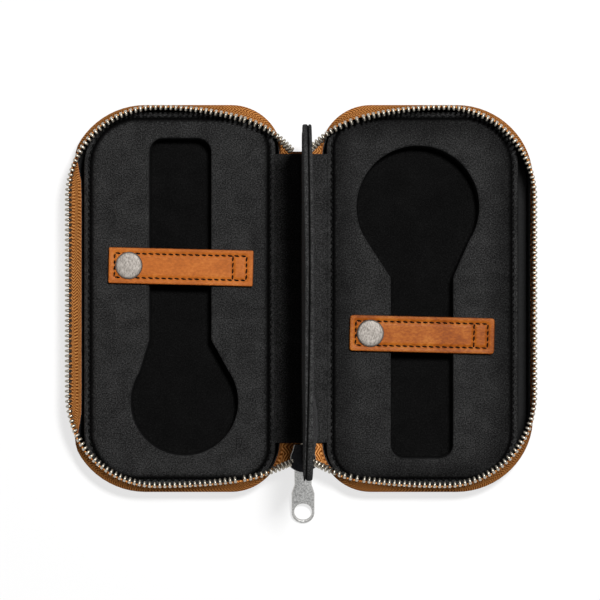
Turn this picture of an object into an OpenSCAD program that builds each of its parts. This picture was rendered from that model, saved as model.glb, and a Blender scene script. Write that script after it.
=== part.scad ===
// Zip-around travel case for two wristwatches, lying open flat like a book.
// X runs across the spine, Y along it, Z up. The case rests on z = 0.

/* [Case halves] */
// Width of one half, from the spine side to the outer side
half_w = 94.3; // [85:0.5:110]
// Length of the case along the spine
case_len = 170.4; // [150:0.5:200]
// Radius of the two outer corners of a half
outer_corner_r = 34; // [26:0.5:36]
// Radius of the two corners beside the spine
spine_corner_r = 22.5; // [16:0.5:26]
// Height of the fold axes over the table
fold_h = 16.5; // [15:0.5:22]
// Distance between the two fold axes
spine_w = 18; // [14:0.5:24]
// Thickness of the leather
leather_t = 1.6; // [1.2:0.1:2]
// Thickness of the stiffening board in each cover
board_t = 1.4; // [1:0.1:1.8]
// How far the left outer wall leans in at its top
left_wall_bow = 4.9; // [0:0.1:5]
// How far the right outer wall leans in at its top
right_wall_bow = 0.3; // [0:0.1:5]

/* [Padded inserts] */
// Gap between an insert and the case's outer side
insert_side_gap = 6.7; // [5.7:0.1:10]
// Gap between an insert and the case's ends
insert_end_gap = 5.9; // [3.2:0.1:10]
// Radius of the insert's outer corners
insert_outer_r = 28; // [20:0.5:31]
// Radius of the insert's corners beside the spine
insert_spine_r = 16; // [10:0.5:20]
// Height of the insert's top over the fold axes
insert_rise = 0.5; // [0.2:0.1:0.8]
// Thickness of the lining skin over the foam
lining_t = 0.8; // [0.6:0.1:1.2]
// Depth of the watch pockets
pocket_depth = 12; // [8:0.5:12]

/* [Watch pockets] */
// Distance of the pockets' heads from the spine's middle
head_x = 51.4; // [48:0.2:56]
// Radius of the head of the left pocket
left_head_r = 23.7; // [20:0.1:26]
// Rim between the left head and the insert's end
left_head_rim = 10.1; // [6:0.1:14]
// Radius of the head of the right pocket
right_head_r = 27; // [22:0.1:28]
// Rim between the right head and the insert's end
right_head_rim = 12.1; // [6:0.1:14]
// Distance of the strap channels from the spine's middle
channel_x = 53.2; // [50:0.2:56]
// Width of the strap channels
channel_w = 27.4; // [24:0.2:30]
// Rim between a channel and the insert's end, away from the head
channel_rim = 8.8; // [6:0.1:14]
// Radius of the corners at the channel's end
channel_end_r = 6; // [3:0.5:10]

/* [Holding straps] */
// Length of a holding strap
strap_len = 63.5; // [56:0.5:70]
// Width of a holding strap
strap_w = 15.8; // [12:0.2:20]
// Length of the strap's end that is sewn to the insert
strap_seat_len = 10; // [8:0.5:12]
// Thickness of the strap's leather
strap_leather_t = 1.7; // [1.2:0.1:2]
// Thickness of the strap's backing
strap_backing_t = 0.8; // [0.6:0.1:1.2]
// Distance from the strap's free end to the middle of its snap
snap_inset = 9; // [8:0.5:12]
// Diameter of the snap's cap
snap_cap_d = 12; // [10:0.5:13]
// Height of the snap's cap
snap_cap_h = 1.25; // [1:0.05:1.7]
// Turn of the straps away from square, clockwise
strap_turn = 1.4; // [0:0.1:3]

/* [Zip] */
// Distance between two teeth of one row
tooth_pitch = 2.2; // [2:0.1:3]
// Width of a tooth along the row
tooth_w = 0.9; // [0.7:0.05:0.95]
// Length of a tooth, across the tape
tooth_len = 3; // [2.4:0.1:3.4]
// Thickness of a tooth, through the tape
tooth_t = 2.2; // [1.8:0.1:2.6]
// Thickness of the zip's tape
tape_t = 0.8; // [0.6:0.1:1]
// Radius of the teeth line at the outer corners
zip_corner_r = 40; // [34:0.5:40.5]
// Distance of the teeth line inside the case's outer side
zip_side_inset = 0.5; // [0.4:0.1:2]
// Distance of the teeth line inside the case's rear side
zip_rear_inset = 1.9; // [1.6:0.1:5]
// Distance of the teeth line inside the case's front side
zip_front_inset = 4.1; // [1.6:0.1:5]

/* [Zip slider] */
// Length of the slider
slider_len = 13; // [12:0.5:15]
// Width of the slider at its wide end
slider_w = 11; // [9:0.5:12]
// Distance of the slider from the spine's middle line
slider_x = 0.9; // [0:0.1:1.2]
// Length of the pull, from its pivot to its tip
pull_len = 32; // [24:0.5:36]
// Length of the pull's neck
pull_neck_len = 13; // [9:0.5:14]
// Width of the pull's neck
pull_neck_w = 7.6; // [6.8:0.1:9]
// Width of the pull's lower part
pull_w = 10.2; // [9:0.1:12]
// Thickness of the pull
pull_t = 1.4; // [1:0.1:1.4]
// Radius of the hole in the pull
pull_hole_r = 3.9; // [2:0.1:4]

/* [Divider] */
// Gap between the divider's panel and the case's ends
divider_end_gap = 11.45; // [11:0.05:20]
// Height of the divider's panel
divider_h = 73; // [60:0.5:76]
// Radius of the panel's corners
divider_r = 11; // [8:0.5:14]
// Thickness of the divider
divider_t = 4; // [3.6:0.1:4.2]
// Distance of the divider's middle from the spine's middle line
divider_x = 2.2; // [0:0.1:2.4]
// Lean of the standing divider towards the right
divider_lean = 0.2; // [0:0.1:0.6]

/* [Hidden] */
$fn = 64;
tan_leather = "#B8743A";
strap_leather = "#C47A3D";
tape_colour = "#B97B3E";
suede = "#262626";
suede_light = "#333333";
foam_colour = "#3d3d3f";
board_colour = "#8a7a62";
nickel = "#c9c6bf";
antique = "#B0ABA6";
pull_metal = "#A5A5A3";

// Play between pieces that move past each other, and the smallest gap of sewn pieces
play = 0.3;
seam = 0.05;

// Case: heights and edges of a half, built on the right and mirrored for the left
wall_top = fold_h - leather_t / 2;
mid_z = fold_h + spine_w / 2;
half_x0 = spine_w / 2 - leather_t / 2;
half_x1 = half_x0 + half_w;
half_y = case_len / 2;
outer_c = [half_x1 - outer_corner_r, half_y - outer_corner_r];
spine_c = [half_x0 + spine_corner_r, half_y - spine_corner_r];
spine_len = 2 * spine_c.y + leather_t;

// Inserts
insert_top = fold_h + insert_rise;
insert_base = leather_t + board_t;
insert_x0 = spine_w / 2 + leather_t / 2 + 1.1;
insert_x1 = half_x1 - insert_side_gap;
insert_y = half_y - insert_end_gap;
pocket_floor = insert_top - pocket_depth;
left_head_y = insert_y - left_head_rim - left_head_r;
right_head_y = insert_y - right_head_rim - right_head_r;
channel_reach = insert_y - channel_rim;

// Straps: the fold at the seam is a small roll, just under the strap's upper face
strap_t = strap_leather_t + strap_backing_t;
strap_z0 = insert_top + play - 0.05;
strap_z1 = strap_z0 + strap_t;
seam_roll_r = 0.4;
seam_x = strap_len / 2 - strap_seat_len;
left_strap_pos = [-52.7, 13.9];
right_strap_pos = [53.1, -15.8];
snap_x = snap_inset - strap_len / 2;
snap_post_r = 1.5;
socket_r = 5;
socket_bore_r = 2.35;
stud_r = 2;
well_r = socket_r + 0.8;
socket_z0 = strap_z0 - 2.2;
stud_base_z = socket_z0 - play - 0.8;

// Zip line: the middle of the teeth where both halves meet, and the tape's way down to the wall
corner_run = 17;
zip_end_x = spine_w / 2 + corner_run;
zip_c_x = half_x1 - zip_side_inset - zip_corner_r;
zip_rear_y = half_y - zip_rear_inset;
zip_front_y = half_y - zip_front_inset;
rear_sweep = 17;
front_sweep = 9;

// Zip corners: where each corner's tape ends beside the spine, and how far it sags on its way
corner_sag = 1.2;
corner_fold_gap = 0.5;
corner_foot_angle = 174;
rear_end_x = 3.5;
rear_end_over = 2.6;
rear_end_rise = 2.2;
slider_side_gap = 2.6;
slider_end_lap = 3.2;
front_end_rise = 1.2;
rear_sweep_r = (zip_c_x - zip_end_x) / sin(rear_sweep);
front_sweep_r = (zip_c_x - zip_end_x) / sin(front_sweep);
tip_over = 0.6;
rear_len = rear_sweep_r * rear_sweep * PI / 180;
front_len = front_sweep_r * front_sweep * PI / 180;
corner_len = zip_corner_r * PI / 2;
side_len = zip_rear_y + zip_front_y - 2 * zip_corner_r;
part_ends = [rear_len, rear_len + corner_len, rear_len + corner_len + side_len,
    rear_len + 2 * corner_len + side_len, rear_len + 2 * corner_len + side_len + front_len];

// Slider
slider_y1 = -spine_len / 2 - 0.6;
slider_y0 = slider_y1 - slider_len;
slider_gap = tooth_t / 2 + 0.1;
slider_plate_t = 1;
slider_bottom = fold_h - slider_gap - slider_plate_t;
bail_w = 3;
bail_bar_t = 1.2;
pivot_y = slider_y1 - slider_len / 2 + 0.1;
pull_bar_r = pull_t / 2;
pivot_z = slider_bottom - pull_bar_r - 0.25;
bail_bar_z = pivot_z - pull_bar_r - 0.25;
pull_slope = asin((pivot_z - pull_bar_r - 0.35) / pull_len);
pull_end_r = pull_w / 2;
pull_taper_len = 4.5;
pull_slot_w = 4.4;
pull_slot_len = 5.8;
pull_hole_shift = 0.4;
cut_depth = 5;

// Divider: a foot strip that leans left, and the panel on it that leans right
divider_len = case_len - 2 * divider_end_gap;
divider_y = -1.75;
spine_top = fold_h + leather_t / 2 + lining_t;
foot_z0 = spine_top + 0.2;
foot_h = 1.2;
panel_z0 = foot_z0 + foot_h + 0.2;
divider_core_t = 0.8;
face_t = (divider_t - divider_core_t) / 2;

// The case is centred in Y between its rear wall and the pull's tip
shift_y = -(half_y + pivot_y - pull_len * cos(pull_slope)) / 2;

// ---- Vectors and curves ----

function unit(v) = v / norm(v);

function mix(a, b, t) = a + (b - a) * t;

function smooth(t) = let(c = min(1, max(0, t))) c * c * (3 - 2 * c);

// Share of the wall's bow at a height along the spine: full in the middle, none at the corners
function bow_share(y) = 1 - smooth((abs(y) - 0.45 * half_y) / (0.33 * half_y));

// A point of the wall's outline, drawn in where the wall leans
function bowed(p, bow) =
    [p.x - bow * bow_share(p.y) * max(0, (p.x - outer_c.x) / outer_corner_r), p.y];

function arc(c, r, a0, a1, n) = [for (i = [0:n]) let(a = mix(a0, a1, i / n)) c + r * [cos(a), sin(a)]];

// The outline of a half, drawn in by off, as points from the rear round the outer side
function outline(off) = concat(
    arc(outer_c, outer_corner_r - off, 90, 0, 10),
    [for (i = [1:13]) [half_x1 - off, mix(outer_c.y, -outer_c.y, i / 14)]],
    arc([outer_c.x, -outer_c.y], outer_corner_r - off, 0, -90, 10),
    arc([spine_c.x, -spine_c.y], spine_corner_r - off, -90, -180, 8),
    arc(spine_c, spine_corner_r - off, 180, 90, 8));

function lifted(points, z, bow) = [for (p = points) let(q = bowed(p, bow)) [q.x, q.y, z]];

// ---- Zip line ----

// Where the wall's middle runs at a distance x from the spine's middle
function wall_y(x) = let(r = spine_corner_r - leather_t / 2)
    x < spine_c.x ? spine_c.y + sqrt(r * r - pow(spine_c.x - x, 2)) : half_y - leather_t / 2;

// Both lines run from t = 0 at the rear, round the outer side, to t = 5 at the front
function zip_xy(t) =
    t < 1 ? let(a = rear_sweep * (1 - t))
        [zip_c_x - rear_sweep_r * sin(a), zip_rear_y - rear_sweep_r * (1 - cos(a))]
    : t < 2 ? [zip_c_x, zip_rear_y - zip_corner_r] + zip_corner_r * [sin(90 * (t - 1)), cos(90 * (t - 1))]
    : t < 3 ? [zip_c_x + zip_corner_r, mix(zip_rear_y - zip_corner_r, zip_corner_r - zip_front_y, t - 2)]
    : t < 4 ? [zip_c_x, zip_corner_r - zip_front_y] + zip_corner_r * [cos(90 * (t - 3)), -sin(90 * (t - 3))]
    : let(a = front_sweep * (t - 4))
        [zip_c_x - front_sweep_r * sin(a), -zip_front_y + front_sweep_r * (1 - cos(a))];

function wall_xy(t, bow) = let(r = outer_corner_r - leather_t / 2)
    t < 1 ? let(x = mix(zip_end_x, outer_c.x, t)) [x, wall_y(x)]
    : t < 2 ? bowed(outer_c + r * [sin(90 * (t - 1)), cos(90 * (t - 1))], bow)
    : t < 3 ? bowed([half_x1 - leather_t / 2, mix(outer_c.y, -outer_c.y, t - 2)], bow)
    : t < 4 ? bowed([outer_c.x, -outer_c.y] + r * [cos(90 * (t - 3)), -sin(90 * (t - 3))], bow)
    : let(x = mix(outer_c.x, zip_end_x, t - 4)) [x, -wall_y(x)];

// The line's parameter at a distance s along the teeth
function zip_t(s) =
    s < part_ends[0] ? s / rear_len
    : s < part_ends[1] ? 1 + (s - part_ends[0]) / corner_len
    : s < part_ends[2] ? 2 + (s - part_ends[1]) / side_len
    : s < part_ends[3] ? 3 + (s - part_ends[2]) / corner_len
    : 4 + (s - part_ends[3]) / front_len;

function zip_point(t) = let(p = zip_xy(t)) [p.x, p.y, mid_z];

function wall_point(t, bow) = let(p = wall_xy(t, bow)) [p.x, p.y, wall_top];

function zip_heading(t) = let(a = zip_point(max(0, t - 0.02)), b = zip_point(min(5, t + 0.02))) unit(b - a);

// A row's frame at a point: [point where the tooth stands, along the row, up the tooth]
function row_frame(top, foot, along) =
    let(rise = top - foot, up = unit(rise - (rise * along) * along)) [top + up * (tip_over - tooth_len), along, up];

function side_frame(t, bow) = row_frame(zip_point(t), wall_point(t, bow), zip_heading(t));

// ---- Ends of the zip rows, from each half to the spine ----

// From the half (u = 0) to the spine (u = 1); rear = 1 at the rear, -1 at the front
function end_top(u, rear) =
    let(
        sweep = rear > 0 ? rear_sweep : front_sweep,
        p0 = rear > 0 ? zip_xy(0) : zip_xy(5),
        reach = zip_end_x - spine_w / 2 - corner_fold_gap,
        p1 = p0 - reach * [1, rear * tan(sweep)],
        p2 = rear > 0 ? [rear_end_x, spine_len / 2 + rear_end_over]
            : [slider_w / 2 + slider_side_gap, slider_y0 + slider_end_lap],
        z2 = fold_h + (rear > 0 ? rear_end_rise : front_end_rise),
        xy = (1 - u) * (1 - u) * p0 + 2 * u * (1 - u) * p1 + u * u * p2,
        z = (1 - u) * (1 - u) * mid_z + 2 * u * (1 - u) * (mid_z - corner_sag) + u * u * z2)
    [xy.x, xy.y, z];

function end_foot(u, rear) =
    let(r = spine_corner_r - leather_t / 2, a0 = acos((zip_end_x - spine_c.x) / r),
        a = mix(a0, corner_foot_angle, u))
    [spine_c.x + r * cos(a), rear * (spine_c.y + r * sin(a)), wall_top];

function end_heading(u, rear) = unit(end_top(min(1, u + 0.02), rear) - end_top(max(0, u - 0.02), rear));

function end_frame(u, rear) = row_frame(end_top(u, rear), end_foot(u, rear), end_heading(u, rear));

function sum(v, i = 0) = i < len(v) ? v[i] + sum(v, i + 1) : 0;

function end_len(rear) = sum([for (i = [1:20]) norm(end_top(i / 20, rear) - end_top((i - 1) / 20, rear))]);

// ---- General shapes ----

// A closed ring with a section given by loops of points, such as a wall
module ring(loops) {
    n = len(loops[0]);
    m = len(loops);
    polyhedron(
        points = [for (l = loops) each l],
        faces = [for (j = [0:m - 1], i = [0:n - 1])
            let(a = j * n, b = (j + 1) % m * n, k = (i + 1) % n) each [[a + i, a + k, b + k], [a + i, b + k, b + i]]]);
}

// A point on a wall's top, raised so that a leaning tape's lower edge clears it
function tape_foot(p, normal) = p + [0, 0, seam + abs(normal.z) * tape_t / 2];

// A strip between the lines low and high, with its thickness along the normals
module ribbon(low, high, normals, t) {
    n = len(low);
    faces = [for (i = [0:n - 2], j = [0:3])
        let(a = i * 4 + j, b = i * 4 + (j + 1) % 4) each [[a, b, b + 4], [a, b + 4, a + 4]]];
    polyhedron(
        points = [for (i = [0:n - 1]) each [low[i] - normals[i] * t / 2, low[i] + normals[i] * t / 2,
            high[i] + normals[i] * t / 2, high[i] - normals[i] * t / 2]],
        faces = concat(faces, [[2, 1, 0], [3, 2, 0], [4 * n - 4, 4 * n - 3, 4 * n - 2], [4 * n - 4, 4 * n - 2, 4 * n - 1]]));
}

// A flat plate with two radii: rs at the spine side, ro at the outer side
module plate_shape(x0, x1, y, rs, ro) {
    translate([x0 + rs, -y]) square([x1 - ro - x0 - rs, 2 * y]);
    translate([x0, rs - y]) square([rs, 2 * (y - rs)]);
    translate([x1 - ro, ro - y]) square([ro, 2 * (y - ro)]);
    for (s = [-1, 1]) {
        translate([x0 + rs, s * (y - rs)]) circle(rs);
        translate([x1 - ro, s * (y - ro)]) circle(ro);
    }
}

module half_shape(off) {
    plate_shape(half_x0 + off, half_x1 - off, half_y - off, spine_corner_r - off, outer_corner_r - off);
}

module insert_shape(off) {
    plate_shape(insert_x0 + off, insert_x1 - off, insert_y - off, insert_spine_r - off, insert_outer_r - off);
}

module slab(z0, z1) {
    translate([0, 0, z0]) linear_extrude(z1 - z0) children();
}

// One tooth, standing on the tape's edge; frame = [point, along the row, up the tooth]
module tooth(frame) {
    b = asin(-frame[1].z);
    c = atan2(frame[1].y, frame[1].x);
    side = [-sin(c), cos(c), 0];
    lift = [sin(b) * cos(c), sin(b) * sin(c), cos(b)];
    a = atan2(-frame[2] * side, frame[2] * lift);
    translate(frame[0]) rotate([a, b, c])
        translate([-tooth_w / 2, -tooth_t / 2, 0]) cube([tooth_w, tooth_t, tooth_len]);
}

// ---- One half, on the right ----

module placed(side) {
    translate([0, shift_y, 0]) mirror([side < 0 ? 1 : 0, 0, 0]) children();
}

module cover_leather(side) {
    color(tan_leather) placed(side) slab(0, leather_t) half_shape(0);
}

module cover_board(side) {
    color(board_colour) placed(side) slab(leather_t, insert_base) half_shape(leather_t + 0.6);
}

module wall_leather(side, bow) {
    color(tan_leather) placed(side) ring([
        lifted(outline(0), leather_t, 0),
        lifted(outline(leather_t), leather_t, 0),
        lifted(outline(leather_t), wall_top, bow),
        lifted(outline(0), wall_top, bow)]);
}

module fold_roll(side) {
    color(tan_leather) placed(side) translate([spine_w / 2, 0, fold_h]) rotate([90, 0, 0])
        cylinder(h = spine_len - 2, r = leather_t / 2, center = true);
}

// The watch's hollow, seen from above: a round head in front and a strap channel behind it
module pocket_shape(head_r, head_y, grow) {
    half = channel_w / 2 + grow;
    end_y = channel_reach + grow;
    end_r = channel_end_r + grow;
    translate([-head_x, -head_y]) circle(head_r + grow);
    translate([-channel_x - half, -head_y]) square([2 * half, head_y + end_y - end_r]);
    translate([-channel_x - half + end_r, 0]) square([2 * (half - end_r), end_y]);
    for (s = [-1, 1]) translate([-channel_x + s * (half - end_r), end_y - end_r]) circle(end_r);
    polygon([[-channel_x - half, 1.15 * head_r - head_y], [-channel_x + half, 1.15 * head_r - head_y],
        [-head_x + 0.84 * (head_r + grow), 0.54 * (head_r + grow) - head_y],
        [-head_x - 0.84 * (head_r + grow), 0.54 * (head_r + grow) - head_y]]);
}

module left_pocket_shape(grow) {
    pocket_shape(left_head_r, left_head_y, grow);
}

module right_pocket_shape(grow) {
    rotate(180) pocket_shape(right_head_r, right_head_y, grow);
}

module snap_at(pos) {
    translate([pos.x, pos.y, 0]) rotate(-strap_turn) translate([snap_x, 0, 0]) children();
}

// children: the pocket's shape, grown by the lining
module foam_core(side, strap_pos) {
    color(foam_colour) translate([0, shift_y, 0]) difference() {
        mirror([side < 0 ? 1 : 0, 0, 0]) slab(insert_base, insert_top - lining_t) insert_shape(lining_t);
        slab(pocket_floor - lining_t, insert_top) children();
        snap_at(strap_pos) translate([0, 0, stud_base_z]) cylinder(h = pocket_depth, r = well_r);
    }
}

// children: the pocket's shape as it is, and then grown by the lining
module lining(side, strap_pos) {
    color(suede) translate([0, shift_y, 0]) difference() {
        union() {
            mirror([side < 0 ? 1 : 0, 0, 0]) difference() {
                slab(insert_base, insert_top) insert_shape(0);
                slab(insert_base - 1, insert_top - lining_t) insert_shape(lining_t);
            }
            slab(pocket_floor - lining_t, insert_top) children(1);
        }
        slab(pocket_floor, insert_top + 1) children(0);
        snap_at(strap_pos) translate([0, 0, insert_top - lining_t - 1]) cylinder(h = pocket_depth, r = well_r);
    }
}

module zip_tape(side, bow) {
    stations = [for (i = [0:6]) i / 6, for (i = [1:10]) 1 + i / 10, for (i = [1:14]) 2 + i / 14,
        for (i = [1:10]) 3 + i / 10, for (i = [1:6]) 4 + i / 6];
    frames = [for (t = stations) side_frame(t, bow)];
    normals = [for (f = frames) cross(f[1], f[2])];
    color(tape_colour) placed(side) ribbon(
        [for (i = [0:len(stations) - 1]) tape_foot(wall_point(stations[i], bow), normals[i])],
        [for (f = frames) f[0] - f[2] * seam],
        normals,
        tape_t);
}

module zip_teeth(side, bow) {
    start = side < 0 ? 0.25 : 0.75;
    count = floor(part_ends[4] / tooth_pitch - 1);
    color(nickel) placed(side) for (i = [0:count]) tooth(side_frame(zip_t((i + start) * tooth_pitch), bow));
}

module corner_tape(side, rear) {
    steps = 14;
    first = 0.02;
    shares = [for (i = [0:steps]) mix(first, 1, i / steps)];
    frames = [for (u = shares) end_frame(u, rear)];
    normals = [for (f = frames) -rear * cross(f[1], f[2])];
    color(tape_colour) placed(side) ribbon(
        [for (i = [0:steps]) tape_foot(end_foot(shares[i], rear), normals[i])],
        [for (f = frames) f[0] - f[2] * seam],
        normals,
        tape_t);
}

module corner_teeth(side, rear) {
    count = round(end_len(rear) / tooth_pitch);
    color(nickel) placed(side) for (i = [1:count]) tooth(end_frame((i - 0.5) / count, rear));
}

// ---- Holding straps ----

module at_strap(pos) {
    translate([pos.x, pos.y + shift_y, 0]) rotate(-strap_turn) children();
}

module strap_shape(x0, x1, round_end) {
    r = 1.5;
    translate([x0 + (round_end < 0 ? r : 0), -strap_w / 2]) square([x1 - x0 - r, strap_w]);
    end_x = round_end < 0 ? x0 : x1;
    translate([round_end < 0 ? end_x : end_x - r, r - strap_w / 2]) square([r, strap_w - 2 * r]);
    for (s = [-1, 1]) translate([end_x - round_end * r, s * (strap_w / 2 - r)]) circle(r);
}

module strap_seat(pos) {
    color(strap_leather) at_strap(pos) {
        slab(insert_top, strap_z1) strap_shape(seam_x, strap_len / 2, 1);
        translate([seam_x, 0, strap_z1 - seam_roll_r]) rotate([90, 0, 0])
            cylinder(h = strap_w - 0.4, r = seam_roll_r, center = true);
    }
}

module strap_layer(pos, z0, z1, inset) {
    at_strap(pos) difference() {
        slab(z0, z1) strap_shape(inset - strap_len / 2, seam_x - seam_roll_r - play, -1);
        translate([snap_x, 0, z0 - 1]) cylinder(h = z1 - z0 + 2, r = snap_post_r + 0.1);
    }
}

module strap(pos) {
    color(strap_leather) strap_layer(pos, strap_z0 + strap_backing_t, strap_z1, 0);
}

module strap_backing(pos) {
    color(tan_leather) strap_layer(pos, strap_z0, strap_z0 + strap_backing_t, 0.2);
}

module snap_cap(pos) {
    r = snap_cap_d / 2;
    color(antique) at_strap(pos) translate([snap_x, 0, 0]) {
        translate([0, 0, strap_z1]) rotate_extrude() polygon([[0, 0], [r - 0.3, 0], [r, 0.3],
            [r - 0.15, 0.65 * snap_cap_h], [r - 0.9, 0.92 * snap_cap_h], [0, snap_cap_h]]);
        translate([0, 0, strap_z0]) cylinder(h = strap_t, r = snap_post_r);
    }
}

module snap_socket(pos) {
    color(antique) at_strap(pos) translate([snap_x, 0, 0]) difference() {
        translate([0, 0, socket_z0]) cylinder(h = strap_z0 - socket_z0, r = socket_r);
        translate([0, 0, socket_z0 - 1]) cylinder(h = strap_z0 - socket_z0 + 0.6, r = socket_bore_r);
    }
}

module snap_stud(pos) {
    top = strap_z0 - 0.4 - play;
    color(antique) at_strap(pos) translate([snap_x, 0, 0]) {
        translate([0, 0, stud_base_z]) cylinder(h = 0.8, r = socket_r - 0.5);
        translate([0, 0, stud_base_z]) cylinder(h = top - stud_base_z - 0.5, r = stud_r - 0.2);
        translate([0, 0, top - 1.1]) cylinder(h = 1.1, r = stud_r);
    }
}

// ---- Spine ----

module spine_leather() {
    w = spine_w - 2 * (leather_t / 2 + play);
    color(tan_leather) translate([-w / 2, shift_y - spine_len / 2, fold_h - leather_t / 2])
        cube([w, spine_len + 1.1, leather_t]);
}

module spine_lining() {
    w = spine_w - 2 * (leather_t / 2 + play);
    color(suede) translate([-w / 2, shift_y - spine_len / 2, fold_h + leather_t / 2])
        cube([w, spine_len, lining_t]);
}

stub_len = 0.55 * slider_len;

module zip_end_tape() {
    color(tape_colour) for (s = [-1, 1])
        translate([slider_x + s * 2.6 - 1.4, shift_y - spine_len / 2 - stub_len, fold_h - tape_t / 2])
            cube([2.8, stub_len, tape_t]);
}

module zip_end_teeth() {
    color(nickel) for (i = [0:floor(stub_len / tooth_pitch * 2) - 1])
        translate([slider_x + (i % 2 ? -1.15 : -1), shift_y - spine_len / 2 - 0.2 - i * tooth_pitch / 2 - tooth_w,
            fold_h - tooth_t / 2]) cube([2.15, tooth_w, tooth_t]);
}

// ---- Divider ----

module divider_plate(x, t, inset) {
    w = divider_len - 2 * inset;
    h = divider_h - 2 * inset;
    r = divider_r - inset;
    translate([divider_x + divider_t / 2, divider_y + shift_y, panel_z0]) rotate([0, divider_lean, 0])
        translate([x - divider_t / 2, -w / 2, inset]) rotate([90, 0, 90]) linear_extrude(t) {
            translate([r, 0]) square([w - 2 * r, h]);
            translate([0, r]) square([w, h - 2 * r]);
            for (y = [r, w - r], z = [r, h - r]) translate([y, z]) circle(r);
        }
}

module divider_foot() {
    color(suede) translate([divider_x - divider_t / 2, shift_y - spine_len / 2, foot_z0])
        cube([divider_t, spine_len, foot_h]);
}

module divider_core() {
    color(board_colour) divider_plate(-divider_core_t / 2, divider_core_t, 3);
}

module divider_left_face() {
    color(suede_light) divider_plate(-divider_t / 2, face_t, 0);
}

module divider_right_face() {
    color(suede_light) divider_plate(divider_core_t / 2, face_t, 0);
}

// ---- Slider and pull ----

module slider_shape() {
    narrow = slider_w / 2 - 1.3;
    intersection() {
        polygon([[-narrow + 1, 0], [narrow - 1, 0], [narrow, -1], [narrow, -5], [slider_w / 2, -8],
            [slider_w / 2, -slider_len], [-slider_w / 2, -slider_len], [-slider_w / 2, -8], [-narrow, -5], [-narrow, -1]]);
        translate([0, slider_w * 0.75 - slider_len]) circle(slider_w * 0.75);
    }
}

module slider_body() {
    flange_h = slider_gap - tape_t / 2 - 0.25;
    rail_x = slider_w / 2 - 2.2;
    root = 0.3;
    color(nickel) translate([slider_x, slider_y1 + shift_y, fold_h]) {
        for (s = [0, 1]) mirror([0, 0, s]) {
            slab(slider_gap, slider_gap + slider_plate_t) slider_shape();
            for (x = [-rail_x - 0.7, rail_x])
                translate([x, -6.4, slider_gap - flange_h]) cube([0.7, 5.2, flange_h + root]);
        }
        slab(-slider_gap - root, slider_gap + root) translate([0, -slider_len + 3.4])
            polygon([[0, 2.4], [1.4, 0], [0.8, -1.2], [-0.8, -1.2], [-1.4, 0]]);
    }
}

module slider_bail() {
    reach = 1.9;
    low = bail_bar_z - bail_bar_t;
    color(nickel) translate([slider_x - bail_w / 2, pivot_y + shift_y, 0]) {
        translate([0, -reach - bail_bar_t, low]) cube([bail_w, 2 * (reach + bail_bar_t), bail_bar_t]);
        for (y = [-reach - bail_bar_t, reach]) translate([0, y, low]) cube([bail_w, bail_bar_t, slider_bottom - low]);
    }
}

module pull_outline() {
    tip_y = pull_end_r - pull_len;
    wide_y = -pull_neck_len - pull_taper_len;
    translate([-pull_neck_w / 2, -pull_neck_len]) square([pull_neck_w, pull_neck_len]);
    polygon([[-pull_neck_w / 2, -pull_neck_len], [pull_neck_w / 2, -pull_neck_len],
        [pull_w / 2, wide_y], [-pull_w / 2, wide_y]]);
    translate([-pull_w / 2, tip_y]) square([pull_w, wide_y - tip_y]);
    translate([0, tip_y]) circle(pull_end_r);
}

module zip_pull() {
    color(pull_metal) translate([slider_x, pivot_y + shift_y, pivot_z]) rotate([pull_slope, 0, 0]) {
        difference() {
            slab(-pull_bar_r, pull_bar_r) pull_outline();
            translate([-pull_slot_w / 2, -pull_slot_len, -cut_depth])
                cube([pull_slot_w, pull_slot_len + 1, 2 * cut_depth]);
            translate([0, pull_end_r - pull_len + pull_hole_shift, -cut_depth])
                cylinder(h = 2 * cut_depth, r = pull_hole_r);
        }
        rotate([0, 90, 0]) cylinder(h = pull_neck_w, r = pull_bar_r, center = true);
    }
}

cover_leather(-1);  // left_cover_leather
wall_leather(-1, left_wall_bow);  // left_wall_leather
fold_roll(-1);  // left_fold_roll
cover_board(-1);  // left_cover_board
foam_core(-1, left_strap_pos) left_pocket_shape(lining_t);  // left_foam_core
lining(-1, left_strap_pos) {  // left_lining
    left_pocket_shape(0);
    left_pocket_shape(lining_t);
}
zip_tape(-1, left_wall_bow);  // left_zip_tape
zip_teeth(-1, left_wall_bow);  // left_zip_teeth
corner_tape(-1, 1);  // left_rear_corner_tape
corner_teeth(-1, 1);  // left_rear_corner_teeth
corner_tape(-1, -1);  // left_front_corner_tape
corner_teeth(-1, -1);  // left_front_corner_teeth
strap_seat(left_strap_pos);  // left_strap_seat
strap(left_strap_pos);  // left_strap
strap_backing(left_strap_pos);  // left_strap_backing
snap_cap(left_strap_pos);  // left_snap_cap
snap_socket(left_strap_pos);  // left_snap_socket
snap_stud(left_strap_pos);  // left_snap_stud
cover_leather(1);  // right_cover_leather
wall_leather(1, right_wall_bow);  // right_wall_leather
fold_roll(1);  // right_fold_roll
cover_board(1);  // right_cover_board
foam_core(1, right_strap_pos) right_pocket_shape(lining_t);  // right_foam_core
lining(1, right_strap_pos) {  // right_lining
    right_pocket_shape(0);
    right_pocket_shape(lining_t);
}
zip_tape(1, right_wall_bow);  // right_zip_tape
zip_teeth(1, right_wall_bow);  // right_zip_teeth
corner_tape(1, 1);  // right_rear_corner_tape
corner_teeth(1, 1);  // right_rear_corner_teeth
corner_tape(1, -1);  // right_front_corner_tape
corner_teeth(1, -1);  // right_front_corner_teeth
strap_seat(right_strap_pos);  // right_strap_seat
strap(right_strap_pos);  // right_strap
strap_backing(right_strap_pos);  // right_strap_backing
snap_cap(right_strap_pos);  // right_snap_cap
snap_socket(right_strap_pos);  // right_snap_socket
snap_stud(right_strap_pos);  // right_snap_stud
spine_leather();
spine_lining();
zip_end_tape();
zip_end_teeth();
divider_foot();
divider_core();
divider_left_face();
divider_right_face();
slider_body();
slider_bail();
zip_pull();
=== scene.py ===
import math

import bmesh
import bpy
from mathutils import Matrix, Vector


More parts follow.
